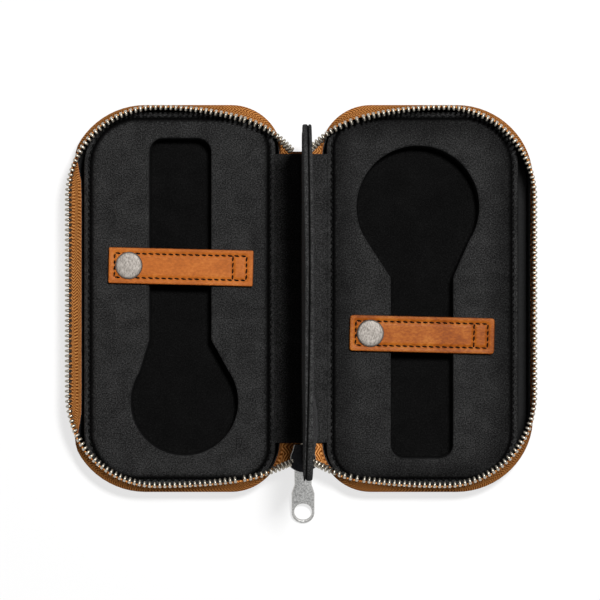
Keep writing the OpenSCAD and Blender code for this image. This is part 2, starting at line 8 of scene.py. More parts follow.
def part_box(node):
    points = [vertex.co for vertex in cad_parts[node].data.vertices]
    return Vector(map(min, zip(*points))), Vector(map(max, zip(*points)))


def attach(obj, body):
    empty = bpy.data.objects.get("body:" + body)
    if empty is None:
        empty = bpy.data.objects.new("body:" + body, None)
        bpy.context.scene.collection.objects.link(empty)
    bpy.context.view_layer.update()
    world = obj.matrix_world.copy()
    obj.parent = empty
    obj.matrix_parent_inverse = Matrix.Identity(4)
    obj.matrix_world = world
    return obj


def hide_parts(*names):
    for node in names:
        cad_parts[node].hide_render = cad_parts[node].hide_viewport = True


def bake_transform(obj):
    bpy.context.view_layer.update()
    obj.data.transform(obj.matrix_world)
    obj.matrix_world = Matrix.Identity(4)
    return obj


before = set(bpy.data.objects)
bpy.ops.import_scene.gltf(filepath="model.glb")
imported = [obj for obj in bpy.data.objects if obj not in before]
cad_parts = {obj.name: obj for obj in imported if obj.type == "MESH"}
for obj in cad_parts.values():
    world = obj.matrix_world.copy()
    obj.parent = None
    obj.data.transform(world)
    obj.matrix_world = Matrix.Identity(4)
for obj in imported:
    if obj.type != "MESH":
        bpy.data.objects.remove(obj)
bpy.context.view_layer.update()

mm = 0.001

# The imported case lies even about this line, across the spine
halfLow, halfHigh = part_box("left_cover_leather")
shiftY = (halfLow.y + halfHigh.y) / 2 / mm

# The sizes that the pieces here share with the part's source, in millimetres
case = {
    "halfX0": 8.2, "halfX1": 102.5, "halfY": 85.2, "outerRadius": 34, "spineRadius": 22.5,
    "leather": 1.6, "wallTop": 15.7, "foldX": 9, "foldZ": 16.5, "middleZ": 25.5, "spineLength": 127,
    "bowHeld": 49, "bowFade": 20,
}
wallBow = {-1: 4.9, 1: 0.3}
sideName = {-1: "left", 1: "right"}
halfBody = {-1: "left_half", 1: "right_half"}
foldBodies = {-1: ("left_half", "spine"), 1: ("spine", "right_half")}
# The ends of a fold, on the half and on the spine, in x and z on the right half, for each kind of
# piece that crosses it
foldBends = {"zip": ((13, 18), (6, 17)), "roll": ((9.5, 15.9), (8.3, 16.5)), "suede": ((10.6, 17), (8.2, 18))}


# Small tools for numbers and for meshes

def mix(a, b, share):
    return a + (b - a) * share


def clamped(share):
    return min(1, max(0, share))


def ease(share):
    held = clamped(share)
    return held * held * (3 - 2 * held)


def cosSin(degrees):
    angle = math.radians(degrees)
    return math.cos(angle), math.sin(angle)


def arcPoints(x, y, r, angles):
    return [(x + r * cosA, y + r * sinA) for cosA, sinA in map(cosSin, angles)]


def rise(edge):
    return abs(edge.verts[0].co.z - edge.verts[1].co.z)


def sharpEdges(bm, degrees):
    limit = math.radians(degrees)
    return [e for e in bm.edges if len(e.link_faces) == 2 and e.calc_face_angle(0) > limit]


def roundEdges(bm, radius, segments, edges=None):
    # rounds all edges, or those that are named
    bmesh.ops.bevel(bm, geom=bm.edges[:] if edges is None else edges, offset=radius, segments=segments,
                    profile=0.5, affect="EDGES", clamp_overlap=True, material=-1)


def roundRims(bm, radius, segments):
    # rounds the level edges of a flat piece
    roundEdges(bm, radius, segments, [e for e in sharpEdges(bm, 60) if rise(e) < 1e-6])


def moved(bm, x, y, z):
    bmesh.ops.translate(bm, verts=bm.verts, vec=(x, y, z))
    return bm


def rotated(bm, angle, axis):
    bmesh.ops.rotate(bm, verts=bm.verts, cent=(0, 0, 0), matrix=Matrix.Rotation(angle, 3, axis))
    return bm


def scaled(bm, x, y, z):
    bmesh.ops.scale(bm, verts=bm.verts, vec=(x, y, z))
    return bm


def flipped(bm, side):
    # a piece drawn on the right, mirrored for the left half
    if side < 0:
        scaled(bm, -1, 1, 1)
        bmesh.ops.reverse_faces(bm, faces=bm.faces)
    return bm


def block(x0, x1, y0, y1, z0, z1):
    bm = bmesh.new()
    bmesh.ops.create_cube(bm, size=1)
    scaled(bm, x1 - x0, y1 - y0, z1 - z0)
    return moved(bm, (x0 + x1) / 2, (y0 + y1) / 2, (z0 + z1) / 2)


def plate(x0, x1, y0, y1, z0, z1, radii, segments):
    # a block whose upright edges are rounded; radii at the lower and the upper x
    bm = block(x0, x1, y0, y1, z0, z1)
    for x, radius in zip((x0, x1), radii):
        roundEdges(bm, radius, segments, [e for e in bm.edges if rise(e) > 1e-3
                                          and all(abs(v.co.x - x) < 1e-3 for v in e.verts)])
    return bm


def cylinder(x, y, r, z0, z1, segments=96):
    bm = bmesh.new()
    bmesh.ops.create_cone(bm, cap_ends=True, segments=segments, radius1=r, radius2=r, depth=z1 - z0)
    return moved(bm, x, y, (z0 + z1) / 2)


def drawnOut(outline, way):
    # a solid drawn out from a flat outline
    bm = bmesh.new()
    face = bm.faces.new([bm.verts.new(point) for point in outline])
    made = bmesh.ops.extrude_face_region(bm, geom=[face])["geom"]
    bmesh.ops.translate(bm, verts=[g for g in made if isinstance(g, bmesh.types.BMVert)], vec=way)
    bmesh.ops.recalc_face_normals(bm, faces=bm.faces)
    return bm


def cutAcross(bm, place, normal):
    bmesh.ops.bisect_plane(bm, geom=bm.verts[:] + bm.edges[:] + bm.faces[:], dist=1e-5,
                           plane_co=place, plane_no=normal)


def sliced(bm, axis, low, high, step):
    # cuts a piece into slices across an axis, so that its faces can be shaped
    normal = Vector([int(i == axis) for i in range(3)])
    count = max(1, round((high - low) / step))
    for i in range(1, count):
        cutAcross(bm, normal * mix(low, high, i / count), normal)
    return bm


def bridged(rings):
    # a closed skin over rings of points
    bm = bmesh.new()
    loops = []
    for ring in rings:
        verts = [bm.verts.new(point) for point in ring]
        loops.append([bm.edges.new(pair) for pair in zip(verts, verts[1:] + verts[:1])])
    for low, high in zip(loops, loops[1:] + loops[:1]):
        bmesh.ops.bridge_loops(bm, edges=low + high)
    bmesh.ops.recalc_face_normals(bm, faces=bm.faces)
    return bm


def meshOf(bm, name):
    mesh = bpy.data.meshes.new(name)
    bm.to_mesh(mesh)
    bm.free()
    return mesh


def inScene(name, data):
    made = bpy.data.objects.new(name, data)
    bpy.context.scene.collection.objects.link(made)
    return made


def joined(target, source):
    mesh = meshOf(source, "part")
    target.from_mesh(mesh)
    bpy.data.meshes.remove(mesh)


def copies(mesh, matrices):
    # one copy of a small shape at each matrix
    bm = bmesh.new()
    for matrix in matrices:
        before = len(bm.verts)
        bm.from_mesh(mesh)
        bm.verts.ensure_lookup_table()
        bmesh.ops.transform(bm, matrix=matrix, verts=bm.verts[before:])
    bpy.data.meshes.remove(mesh)
    return bm


def worked(bm, cutters, steps):
    # runs modifiers on a piece and gives back its mesh: holes by cutters, then each step
    blank = inScene("blank", meshOf(bm, "blank"))
    tools = [inScene("cutter", meshOf(cutter, "cutter")) for cutter in cutters]
    cuts = [("BOOLEAN", {"operation": "DIFFERENCE", "solver": "EXACT", "object": tool}) for tool in tools]
    for kind, settings in cuts + steps:
        step = blank.modifiers.new(kind.lower(), kind)
        for key, value in settings.items():
            setattr(step, key, value)
    bpy.context.view_layer.update()
    mesh = bpy.data.meshes.new_from_object(blank.evaluated_get(bpy.context.evaluated_depsgraph_get()))
    result = bmesh.new()
    result.from_mesh(mesh)
    bpy.data.meshes.remove(mesh)
    for spent in [blank] + tools:
        data = spent.data
        bpy.data.objects.remove(spent)
        bpy.data.meshes.remove(data)
    return result


def framePoint(point):
    return (point[0] * mm, (point[1] + shiftY) * mm, point[2] * mm)


def finishPiece(bm, name, material, slot, body=None, across=None, replaces=(), padded=None, smoothAngle=40):
    # moves a piece to its place in the frame, gives it its finish, and parents it to the body it rides
    # on; a piece that crosses a fold is left in the frame without a body
    moved(bm, 0, shiftY, 0)
    piece = inScene(name, meshOf(scaled(bm, mm, mm, mm), name))
    piece.data.shade_smooth()
    piece.data.set_sharp_from_angle(angle=math.radians(smoothAngle))
    piece.data.materials.append(material)
    if across:
        bodies, start, end = across
        framePoint(start)
        framePoint(end)
        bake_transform(piece)
    else:
        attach(piece, body)
    if replaces:
        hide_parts(*replaces)
    return piece


def acrossFold(side, bend):
    # the two bodies beside the spine and the ends of the fold between them
    ends = [(side * x, 0, z) for x, z in foldBends[bend]]
    return (foldBodies[side], ends[0], ends[1]) if side < 0 else (foldBodies[side], ends[1], ends[0])


# Materials, each named for what the real one is

def colour(code):
    channels = [int(code[i:i + 2], 16) / 255 for i in (1, 3, 5)]
    return tuple(c / 12.92 if c <= 0.04045 else ((c + 0.055) / 1.055) ** 2.4 for c in channels) + (1,)


def setInputs(tree, node, inputs):
    # a value is set on its socket, and another node's output is linked to it
    for key, value in inputs.items():
        if isinstance(value, bpy.types.NodeSocket):
            tree.links.new(value, node.inputs[key])
        else:
            node.inputs[key].default_value = value


def addNode(tree, kind, inputs=None, out=None, stops=(), **settings):
    # adds a node with its settings, inputs and colour stops, and gives back the output that is
    # named, or else the first one in use
    node = tree.nodes.new("ShaderNode" + kind)
    for key, value in settings.items():
        setattr(node, key, value)
    setInputs(tree, node, inputs or {})
    for i, (place, code) in enumerate(stops):
        elements = node.color_ramp.elements
        if i == len(elements):
            elements.new(1.0)
        elements[i].position, elements[i].color = place, colour(code)
    return node.outputs[out] if out else next(socket for socket in node.outputs if socket.enabled)


def newMaterial(name):
    material = bpy.data.materials.new(name)
    material.use_nodes = True
    return material, material.node_tree


def finished(material, inputs):
    setInputs(material.node_tree, material.node_tree.nodes["Principled BSDF"], inputs)
    return material


def grained(name, codes, pebble, depth, rough):
    # Vegetable-tanned cowhide, drum-dyed and lightly glazed: a soft satin skin with small pebbles
    # between fine creases, and slow changes of tone from the hide. pebble and depth are in mm
    material, tree = newMaterial(name)
    place = addNode(tree, "TexCoord", out="Object")
    cells = addNode(tree, "TexVoronoi", {"Scale": 1 / (pebble * mm), "Vector": place},
                    feature="DISTANCE_TO_EDGE")
    tone = addNode(tree, "TexNoise", {"Scale": 1 / (14 * mm), "Detail": 4, "Roughness": 0.6, "Vector": place})
    grain = addNode(tree, "TexNoise", {"Scale": 1 / (pebble * 0.45 * mm), "Detail": 3, "Vector": place})
    crease = addNode(tree, "MapRange", {"From Max": 0.22, "Value": cells})
    blended = addNode(tree, "Mix", {"Factor": 0.3, "A": tone, "B": grain})
    base = addNode(tree, "ValToRGB", {"Fac": blended}, stops=zip((0.3, 0.5, 0.72), codes))
    depthShade = addNode(tree, "MapRange", {"To Min": 0.55, "Value": crease})
    creased = addNode(tree, "Mix", {"A": colour(codes[0]), "B": base, "Factor": depthShade}, data_type="RGBA")
    height = addNode(tree, "Math", {0: grain, 1: 0.35, 2: crease}, operation="MULTIPLY_ADD")
    return finished(material, {
        "IOR": 1.5, "Specular IOR Level": 0.25, "Base Color": creased,
        "Roughness": addNode(tree, "MapRange", {"To Min": rough + 0.08, "To Max": rough - 0.08,
                                                "Value": tone}),
        "Normal": addNode(tree, "Bump", {"Strength": 0.5, "Distance": depth * mm, "Height": height})})


def smoothLeather(name, codes):
    # Natural vegetable-tanned leather with a waxed, plated face: almost no pebble, fine pores and faint
    # drag marks along the strap, a soft satin shine, edges burnished a little darker, and painted shade
    # in the pinch by each stitch
    material, tree = newMaterial(name)
    place = addNode(tree, "TexCoord", out="Object")
    stretched = addNode(tree, "Mapping", {"Scale": (0.6, 1, 1), "Vector": place})
    tone = addNode(tree, "TexNoise", {"Scale": 1 / (12 * mm), "Detail": 2, "Roughness": 0.5, "Vector": place})
    drag = addNode(tree, "TexNoise", {"Scale": 1 / (0.8 * mm), "Detail": 3, "Vector": stretched})
    pores = addNode(tree, "TexVoronoi", {"Scale": 1 / (0.55 * mm), "Vector": place})
    blended = addNode(tree, "Mix", {"Factor": 0.45, "A": tone, "B": drag})
    base = addNode(tree, "ValToRGB", {"Fac": blended}, stops=zip((0.38, 0.5, 0.62), codes[1:]))
    edge = addNode(tree, "Attribute", out="Fac", attribute_name="burnishAndPaintedShade")
    pits = addNode(tree, "MapRange", {"From Max": 0.25, "Value": pores})
    height = addNode(tree, "Math", {0: drag, 1: 0.8, 2: pits}, operation="MULTIPLY_ADD")
    return finished(material, {
        "IOR": 1.48, "Specular IOR Level": 0.12,
        "Base Color": addNode(tree, "Mix", {"A": base, "B": colour(codes[0]), "Factor": edge},
                              data_type="RGBA"),
        "Roughness": addNode(tree, "MapRange", {"To Min": 0.52, "To Max": 0.36, "Value": tone}),
        "Normal": addNode(tree, "Bump", {"Strength": 0.3, "Distance": 0.06 * mm, "Height": height})})


def napped(name, codes, nap):
    # Microsuede, polyester with a brushed nap: matt black with a dusty grey speckle where the short
    # fibres stand, slow darker and lighter strokes, and a weak sheen at a low angle. Where the attribute
    # for painted shade is set, it is a deeper black with less sheen: painted shade by the seams, in the
    # watch hollows and between the divider's faces. nap is in mm
    material, tree = newMaterial(name)
    place = addNode(tree, "TexCoord", out="Object")
    fibre = addNode(tree, "TexNoise", {"Scale": 1 / (nap * mm), "Detail": 3, "Roughness": 0.7,
                                       "Vector": place})
    stroke = addNode(tree, "TexNoise", {"Scale": 1 / (9 * mm), "Detail": 3, "Distortion": 0.6,
                                        "Vector": place})
    blended = addNode(tree, "Mix", {"Factor": 0.15, "A": fibre, "B": stroke})
    base = addNode(tree, "ValToRGB", {"Fac": blended}, stops=zip((0.38, 0.5, 0.66), codes))
    # painted shade: mixes the nap to near black and takes away its sheen
    paintedShade = addNode(tree, "Attribute", out="Fac", attribute_name="paintedShade")
    return finished(material, {
        "IOR": 1.5, "Roughness": 0.95, "Specular IOR Level": 0.03, "Sheen Roughness": 0.45,
        "Sheen Tint": colour("#8c8c8e"),
        "Sheen Weight": addNode(tree, "MapRange", {"To Min": 0.12, "To Max": 0.0, "Value": paintedShade}),
        "Base Color": addNode(tree, "Mix", {"A": base, "B": colour("#050505"), "Factor": paintedShade},
                              data_type="RGBA"),
        "Normal": addNode(tree, "Bump", {"Strength": 0.8, "Distance": 0.2 * mm, "Height": fibre})})


def herringbone(name, codes, twill, rib):
    # Woven polyester zip tape: a herringbone of fine twill lines that change direction at each rib,
    # matt. twill and rib are widths in mm, drawn coarser than the real weave so that they show
    material, tree = newMaterial(name)
    along = addNode(tree, "Attribute", out="Fac", attribute_name="along")
    across = addNode(tree, "Attribute", out="Fac", attribute_name="across")
    zigzag = addNode(tree, "Math", {0: across, 1: rib * mm}, operation="PINGPONG")
    run = addNode(tree, "Math", {0: zigzag, 1: 0.6, 2: along}, operation="MULTIPLY_ADD")
    turns = addNode(tree, "Math", {0: run, 1: 2 * math.pi / (twill * mm)}, operation="MULTIPLY")
    wave = addNode(tree, "Math", {0: turns}, operation="SINE")
    yarn = addNode(tree, "MapRange", {"From Min": -1.0, "Value": wave})
    ribTurns = addNode(tree, "Math", {0: across, 1: math.pi / (rib * mm)}, operation="MULTIPLY")
    ribWave = addNode(tree, "Math", {0: ribTurns}, operation="COSINE")
    place = addNode(tree, "TexCoord", out="Object")
    tone = addNode(tree, "TexNoise", {"Scale": 1 / (1.3 * mm), "Detail": 3, "Vector": place})
    blended = addNode(tree, "Mix", {"Factor": 0.35, "A": yarn, "B": tone})
    height = addNode(tree, "Math", {0: ribWave, 1: 0.25, 2: yarn}, operation="MULTIPLY_ADD")
    return finished(material, {
        "IOR": 1.5, "Roughness": 0.82, "Specular IOR Level": 0.0,
        "Base Color": addNode(tree, "ValToRGB", {"Fac": blended}, stops=zip((0.18, 0.5, 0.82), codes)),
        "Normal": addNode(tree, "Bump", {"Strength": 0.7, "Distance": 0.16 * mm, "Height": height})})


def plainMetal(name, code, speckCode, speck, rough, uneven, brushed=(1, 1, 1)):
    # A plated or tumbled metal: its own tint in the highlight, a fine unevenness in its gloss, and a
    # lighter colour on the side rims that the attribute marks: partly a rim rubbed bare, partly a painted
    # highlight where those rims catch the light. speck is in mm
    material, tree = newMaterial(name)
    place = addNode(tree, "TexCoord", out="Object")
    place = addNode(tree, "Mapping", {"Scale": brushed, "Vector": place})
    grit = addNode(tree, "TexNoise", {"Scale": 1 / (speck * mm), "Detail": 4, "Roughness": 0.65,
                                      "Vector": place})
    base = addNode(tree, "ValToRGB", {"Fac": grit}, stops=[(0.3, speckCode), (0.62, code)])
    worn = addNode(tree, "Attribute", out="Fac", attribute_name="worn")
    return finished(material, {
        "Metallic": 1.0,
        "Base Color": addNode(tree, "Mix", {"A": base, "B": colour("#e2e0dc"), "Factor": worn},
                              data_type="RGBA"),
        "Roughness": addNode(tree, "MapRange", {"To Min": rough + uneven, "To Max": rough - uneven,
                                                "Value": grit}),
        "Normal": addNode(tree, "Bump", {"Strength": 0.35, "Distance": 0.03 * mm, "Height": grit})})


def sewingThread(name, codes):
    # Bonded nylon sewing thread: twisted plies, a dull wax shine
    material, tree = newMaterial(name)
    place = addNode(tree, "TexCoord", out="Object")
    plies = addNode(tree, "TexWave", {"Scale": 1 / (2.2 * mm), "Distortion": 1.0, "Vector": place}, out="Fac",
                    bands_direction="DIAGONAL")
    return finished(material, {
        "IOR": 1.53, "Roughness": 0.7, "Specular IOR Level": 0.04,
        "Base Color": addNode(tree, "ValToRGB", {"Fac": plies}, stops=zip((0.2, 0.8), codes)),
        "Normal": addNode(tree, "Bump", {"Strength": 0.5, "Distance": 0.05 * mm, "Height": plies})})


def pressedFibre(name, codes, grain, rough):
    # Fibreboard, pressed from dyed fibres: matt, with a small grain. grain is in mm
    material, tree = newMaterial(name)
    place = addNode(tree, "TexCoord", out="Object")
    fibres = addNode(tree, "TexNoise", {"Scale": 1 / (grain * mm), "Detail": 4, "Vector": place})
    return finished(material, {
        "IOR": 1.5, "Roughness": rough,
        "Base Color": addNode(tree, "ValToRGB", {"Fac": fibres}, stops=zip((0.35, 0.65), codes)),
        "Normal": addNode(tree, "Bump", {"Strength": 0.4, "Distance": 0.1 * mm, "Height": fibres})})


coverLeather = grained("vegetable tanned cowhide", ("#8f5424", "#a9652b", "#bb7436"), 0.9, 0.16, 0.5)
strapLeather = {
    -1: smoothLeather("waxed natural leather left", ("#743810", "#b05e1d", "#c26a23", "#cf7a30")),
    1: smoothLeather("waxed natural leather right", ("#5e2e0a", "#92480e", "#ac5a13", "#c07024")),
}
microsuede = napped("black microsuede", ("#141414", "#2a2a2a", "#4a4a4a"), 0.55)
# the same microsuede in lighter colours for the divider: painted light on its lit edges
dividerSuedePaintedLighter = napped("black microsuede on board, painted lighter", ("#1b1b1b", "#343434", "#585858"), 0.55)
zipTapeWeave = herringbone("polyester herringbone tape", ("#6c3812", "#c87836", "#e8a562"), 1.22, 3.0)
zipNickel = plainMetal("nickel on brass", "#c2bbae", "#8f897d", 0.5, 0.4, 0.06)
capSilver = plainMetal("brushed antique silver", "#9c9690", "#6a655f", 0.45, 0.62, 0.08, (1, 0.4, 1))
# near-black metal for the slider and its bail
darkZinc = plainMetal("near-black zinc", "#1e1e20", "#121213", 0.8, 0.2, 0.05)
pullMetal = plainMetal("tumbled nickel on zinc", "#dcdcda", "#8a8a89", 0.75, 0.46, 0.08)
blackThread = sewingThread("black bonded nylon", ("#050505", "#101010"))
brownThread = sewingThread("dark brown bonded nylon", ("#120906", "#24130a"))
fibreboard = pressedFibre("black fibreboard", ("#0a0a0a", "#161617"), 0.8, 0.9)
print("materials: done")


# The zip, on the line that the part's source has. Its parts are the rear sweep, the rear corner, the
# outer side, the front corner and the front sweep, and its parameter t grows by 1 over each of them

track = {
    "endX": 26, "centreX": 62, "rearY": 83.3, "frontY": 81.1, "corner": 40, "rearSweep": 17, "frontSweep": 9,
    "tape": 0.7, "tapeRows": 7, "tapeBelly": 0.22, "stations": (8, 14, 20, 14, 8), "endStations": 30,
}
tooth = {
    "pitch": 2.2, "legWidth": 1.4, "headWidth": 1.06, "length": 3, "thickness": 2.2, "tipOver": 0.6,
    "worn": 0.34, "neck": 1.74, "neckBand": 0.35, "firstAt": {-1: 0.25, 1: 0.75},
}
# Where the zip's ends lie beside the spine, rear (1) and front (-1): the teeth's and the tape's place
# as drawn on the right, each with what the right half's end adds to it and the left half's end takes off
zipEnds = {
    1: {"top": ((3.5, 65.45, 18.7), (0.2, 0.65, 0)), "foot": ((2.6, 63.0, 16.6), (0, 0, 0))},
    -1: {"top": ((4.0, -72.4, 16.9), (0.9, 0, 0)), "foot": ((2.6, -62.6, 16.5), (0.9, 0, 0))},
    "name": {1: "rear", -1: "front"}, "cornerShare": 0.78, "cornerTurn": 181, "lead": 0.5, "dip": 1.2,
}
sweepRadius = {rear: (track["centreX"] - track["endX"]) / math.sin(math.radians(track[key]))
               for rear, key in ((1, "rearSweep"), (-1, "frontSweep"))}
cornerLength = track["corner"] * math.pi / 2
partLengths = [sweepRadius[1] * math.radians(track["rearSweep"]), cornerLength,
               track["rearY"] + track["frontY"] - 2 * track["corner"], cornerLength,
               sweepRadius[-1] * math.radians(track["frontSweep"])]


def roundSide(t, x, rearY, frontY, r):
    # round the outer side of a half, from the rear corner's centre to the front corner's
    if t < 2:
        cosA, sinA = cosSin(90 * (t - 1))
        return x + r * sinA, rearY + r * cosA
    if t < 3:
        return x + r, mix(rearY, frontY, t - 2)
    cosA, sinA = cosSin(90 * (t - 3))
    return x + r * cosA, frontY - r * sinA


def zipPoint(t):
    c, r = track["centreX"], track["corner"]
    if t < 1:
        cosA, sinA = cosSin(track["rearSweep"] * (1 - t))
        x, y = c - sweepRadius[1] * sinA, track["rearY"] - sweepRadius[1] * (1 - cosA)
    elif t < 4:
        x, y = roundSide(t, c, track["rearY"] - r, r - track["frontY"], r)
    else:
        cosA, sinA = cosSin(track["frontSweep"] * (t - 4))
        x, y = c - sweepRadius[-1] * sinA, -track["frontY"] + sweepRadius[-1] * (1 - cosA)
    return Vector((x, y, case["middleZ"]))


def bowed(x, y, bow):
    # the outer wall is drawn in along its middle
    share = 1 - ease((abs(y) - case["bowHeld"]) / case["bowFade"])
    outerX = case["halfX1"] - case["outerRadius"]
    return x - bow * share * max(0, (x - outerX) / case["outerRadius"])


def wallPoint(t, bow):
    # the top of the wall, below the same place of the zip
    half, outer, inner = case["leather"] / 2, case["outerRadius"], case["spineRadius"]
    cx, cy = case["halfX1"] - outer, case["halfY"] - outer
    if 1 <= t < 4:
        x, y = roundSide(t, cx, cy, -cy, outer - half)
        return Vector((bowed(x, y, bow), y, case["wallTop"]))
    x = mix(track["endX"], cx, t) if t < 1 else mix(cx, track["endX"], t - 4)
    y, fromCorner = case["halfY"] - half, case["halfX0"] + inner - x
    if fromCorner > 0:
        y = case["halfY"] - inner + math.sqrt((inner - half) ** 2 - fromCorner ** 2)
    return Vector((x, y if t < 1 else -y, case["wallTop"]))


def partAt(distance):
    # t at a distance along the teeth
    for i, length in enumerate(partLengths):
        if distance <= length or i == 4:
            return i + distance / length
        distance -= length


def rowFrame(top, foot, ahead, behind):
    # where a tooth or the tape's edge stands, which way the zip runs there, and which way is up
    along = (ahead - behind).normalized()
    climb = top - foot
    up = (climb - climb.dot(along) * along).normalized()
    return top + up * (tooth["tipOver"] - tooth["length"]), along, up


def sideFrame(t, bow):
    return rowFrame(zipPoint(t), wallPoint(t, bow), zipPoint(min(5, t + 0.02)), zipPoint(max(0, t - 0.02)))


def endPlace(rear, part, side):
    return Vector([a + b * side for a, b in zip(*zipEnds[rear][part])])


def endTop(u, rear, side):
    # the teeth's line from the half to the spine, one smooth bend
    sweep = math.tan(math.radians(track["rearSweep"] if rear > 0 else track["frontSweep"]))
    first = zipPoint(0 if rear > 0 else 5)
    reach = track["endX"] - case["foldX"] - zipEnds["lead"]
    last = endPlace(rear, "top", side)
    middle = Vector((first.x - reach, first.y - reach * rear * sweep, case["middleZ"] - zipEnds["dip"]))
    return (1 - u) ** 2 * first + 2 * u * (1 - u) * middle + u * u * last


def endFoot(u, rear, side):
    # round the wall's corner, and from there along the end of the spine's strip
    r, share = case["spineRadius"] - case["leather"] / 2, zipEnds["cornerShare"]
    sx, sy = case["halfX0"] + case["spineRadius"], case["halfY"] - case["spineRadius"]
    start = math.degrees(math.acos((track["endX"] - sx) / r))
    cosA, sinA = cosSin(mix(start, zipEnds["cornerTurn"], min(1, u / share)))
    point = Vector((sx + r * cosA, rear * (sy + r * sinA), case["wallTop"]))
    if u > share:
        point = point.lerp(endPlace(rear, "foot", side), (u - share) / (1 - share))
    return point


def endFrame(u, rear, side):
    return rowFrame(endTop(u, rear, side), endFoot(u, rear, side),
                    endTop(min(1, u + 0.02), rear, side), endTop(max(0, u - 0.02), rear, side))


def raised(foot, frameHere):
    # the tape's lower edge, laid on the leather
    normal = frameHere[1].cross(frameHere[2])
    return foot + Vector((0, 0, 0.05 + abs(normal.z) * track["tape"] / 2))


def tapeStrip(frames, feet, flip):
    # a woven strip from the wall to the teeth: its thin section is drawn once and extruded along the line
    rows = track["tapeRows"]
    bm = bmesh.new()
    layers = bm.verts.layers.float.new("along"), bm.verts.layers.float.new("across")
    travelled, previous, verts, edges = 0.0, None, [], []
    for (top, along, up), foot in zip(frames, feet):
        travelled += (top - previous).length if previous else 0
        previous = top
        normal = along.cross(up) * flip
        section = []
        for face, order in ((0, range(rows + 1)), (-track["tape"], range(rows, -1, -1))):
            for i in order:
                belly = track["tapeBelly"] * math.sin(math.pi * i / rows) + face
                section.append((foot.lerp(top, i / rows) + normal * belly, (top - foot).length * i / rows))
        if verts:
            made = bmesh.ops.extrude_edge_only(bm, edges=edges)["geom"]
            edges = [g for g in made if isinstance(g, bmesh.types.BMEdge)]
            fresh = [g for g in made if isinstance(g, bmesh.types.BMVert)]
            last = [v.co.copy() for v in verts]
            verts = sorted(fresh, key=lambda v: min(range(len(last)), key=lambda i: (last[i] - v.co).length))
        else:
            verts = [bm.verts.new(point) for point, width in section]
            edges = [bm.edges.new((verts[i - 1], verts[i])) for i in range(len(verts))]
        for v, (point, width) in zip(verts, section):
            v.co = point
            v[layers[0]], v[layers[1]] = travelled * mm, width * mm
    bmesh.ops.holes_fill(bm, edges=bm.edges[:], sides=0)
    bmesh.ops.recalc_face_normals(bm, faces=bm.faces)
    return bm


def toothRow(frames):
    # zip teeth, each standing on its foot: a small bar with worn edges and a narrower head
    wide, thick, neck = tooth["legWidth"] / 2, tooth["thickness"] / 2, tooth["neck"]
    bm = block(-wide, wide, -thick, thick, 0, tooth["length"])
    roundEdges(bm, tooth["worn"], 1)
    for z in (neck, neck + tooth["neckBand"]):
        cutAcross(bm, (0, 0, z), (0, 0, 1))
    for v in bm.verts:
        if v.co.z > neck + 0.1:
            v.co.x *= tooth["headWidth"] / tooth["legWidth"]
    matrices = []
    for point, along, up in frames:
        turn = Matrix((along, up.cross(along).normalized(), up)).transposed().to_4x4()
        turn.translation = point
        matrices.append(turn)
    return copies(meshOf(bm, "tooth"), matrices)


def finishZip(side, label, nodes, frames, feet, flip, toothFrames, **carried):
    # one run of the zip: its tape, then its teeth
    tape, teeth = flipped(tapeStrip(frames, feet, flip), side), flipped(toothRow(toothFrames), side)
    finishPiece(tape, label + "_tape_weave", zipTapeWeave, "zip_tape", replaces=[nodes[0]], **carried)
    finishPiece(teeth, label + "_tooth_row", zipNickel, "zip_metal", replaces=[nodes[1]], smoothAngle=50,
                **carried)


stations = [part + i / count for part, count in enumerate(track["stations"]) for i in range(count)] + [5]
endShares = [i / track["endStations"] for i in range(track["endStations"] + 1)]
for side, name in sideName.items():
    bow, pitch = wallBow[side], tooth["pitch"]
    frames = [sideFrame(t, bow) for t in stations]
    feet = [raised(wallPoint(t, bow), f) for t, f in zip(stations, frames)]
    count = math.floor(sum(partLengths) / pitch)
    toothFrames = [sideFrame(partAt((i + tooth["firstAt"][side]) * pitch), bow) for i in range(count)]
    finishZip(side, name, (name + "_zip_tape", name + "_zip_teeth"), frames, feet, 1, toothFrames,
              body=halfBody[side])
    for rear, endName in zipEnds["name"].items():
        frames = [endFrame(u, rear, side) for u in endShares]
        feet = [raised(endFoot(u, rear, side), f) for u, f in zip(endShares, frames)]
        marks = [endTop(i / 20, rear, side) for i in range(21)]
        count = round(sum((b - a).length for a, b in zip(marks, marks[1:])) / pitch)
        toothFrames = [endFrame((i + 0.5) / count, rear, side) for i in range(count)]
        label = name + "_" + endName
        finishZip(side, label, (label + "_corner_tape", label + "_corner_teeth"), frames, feet, -rear,
                  toothFrames, across=acrossFold(side, "zip"))
print("zip: done")


# The leather shells of the two covers, their inner faces given the black microsuede finish

shell = {"bottomRadius": 2.6, "bottomSegments": 5, "cornerSegments": 16, "turnedEdge": 0.5, "liningUpTo": 12}


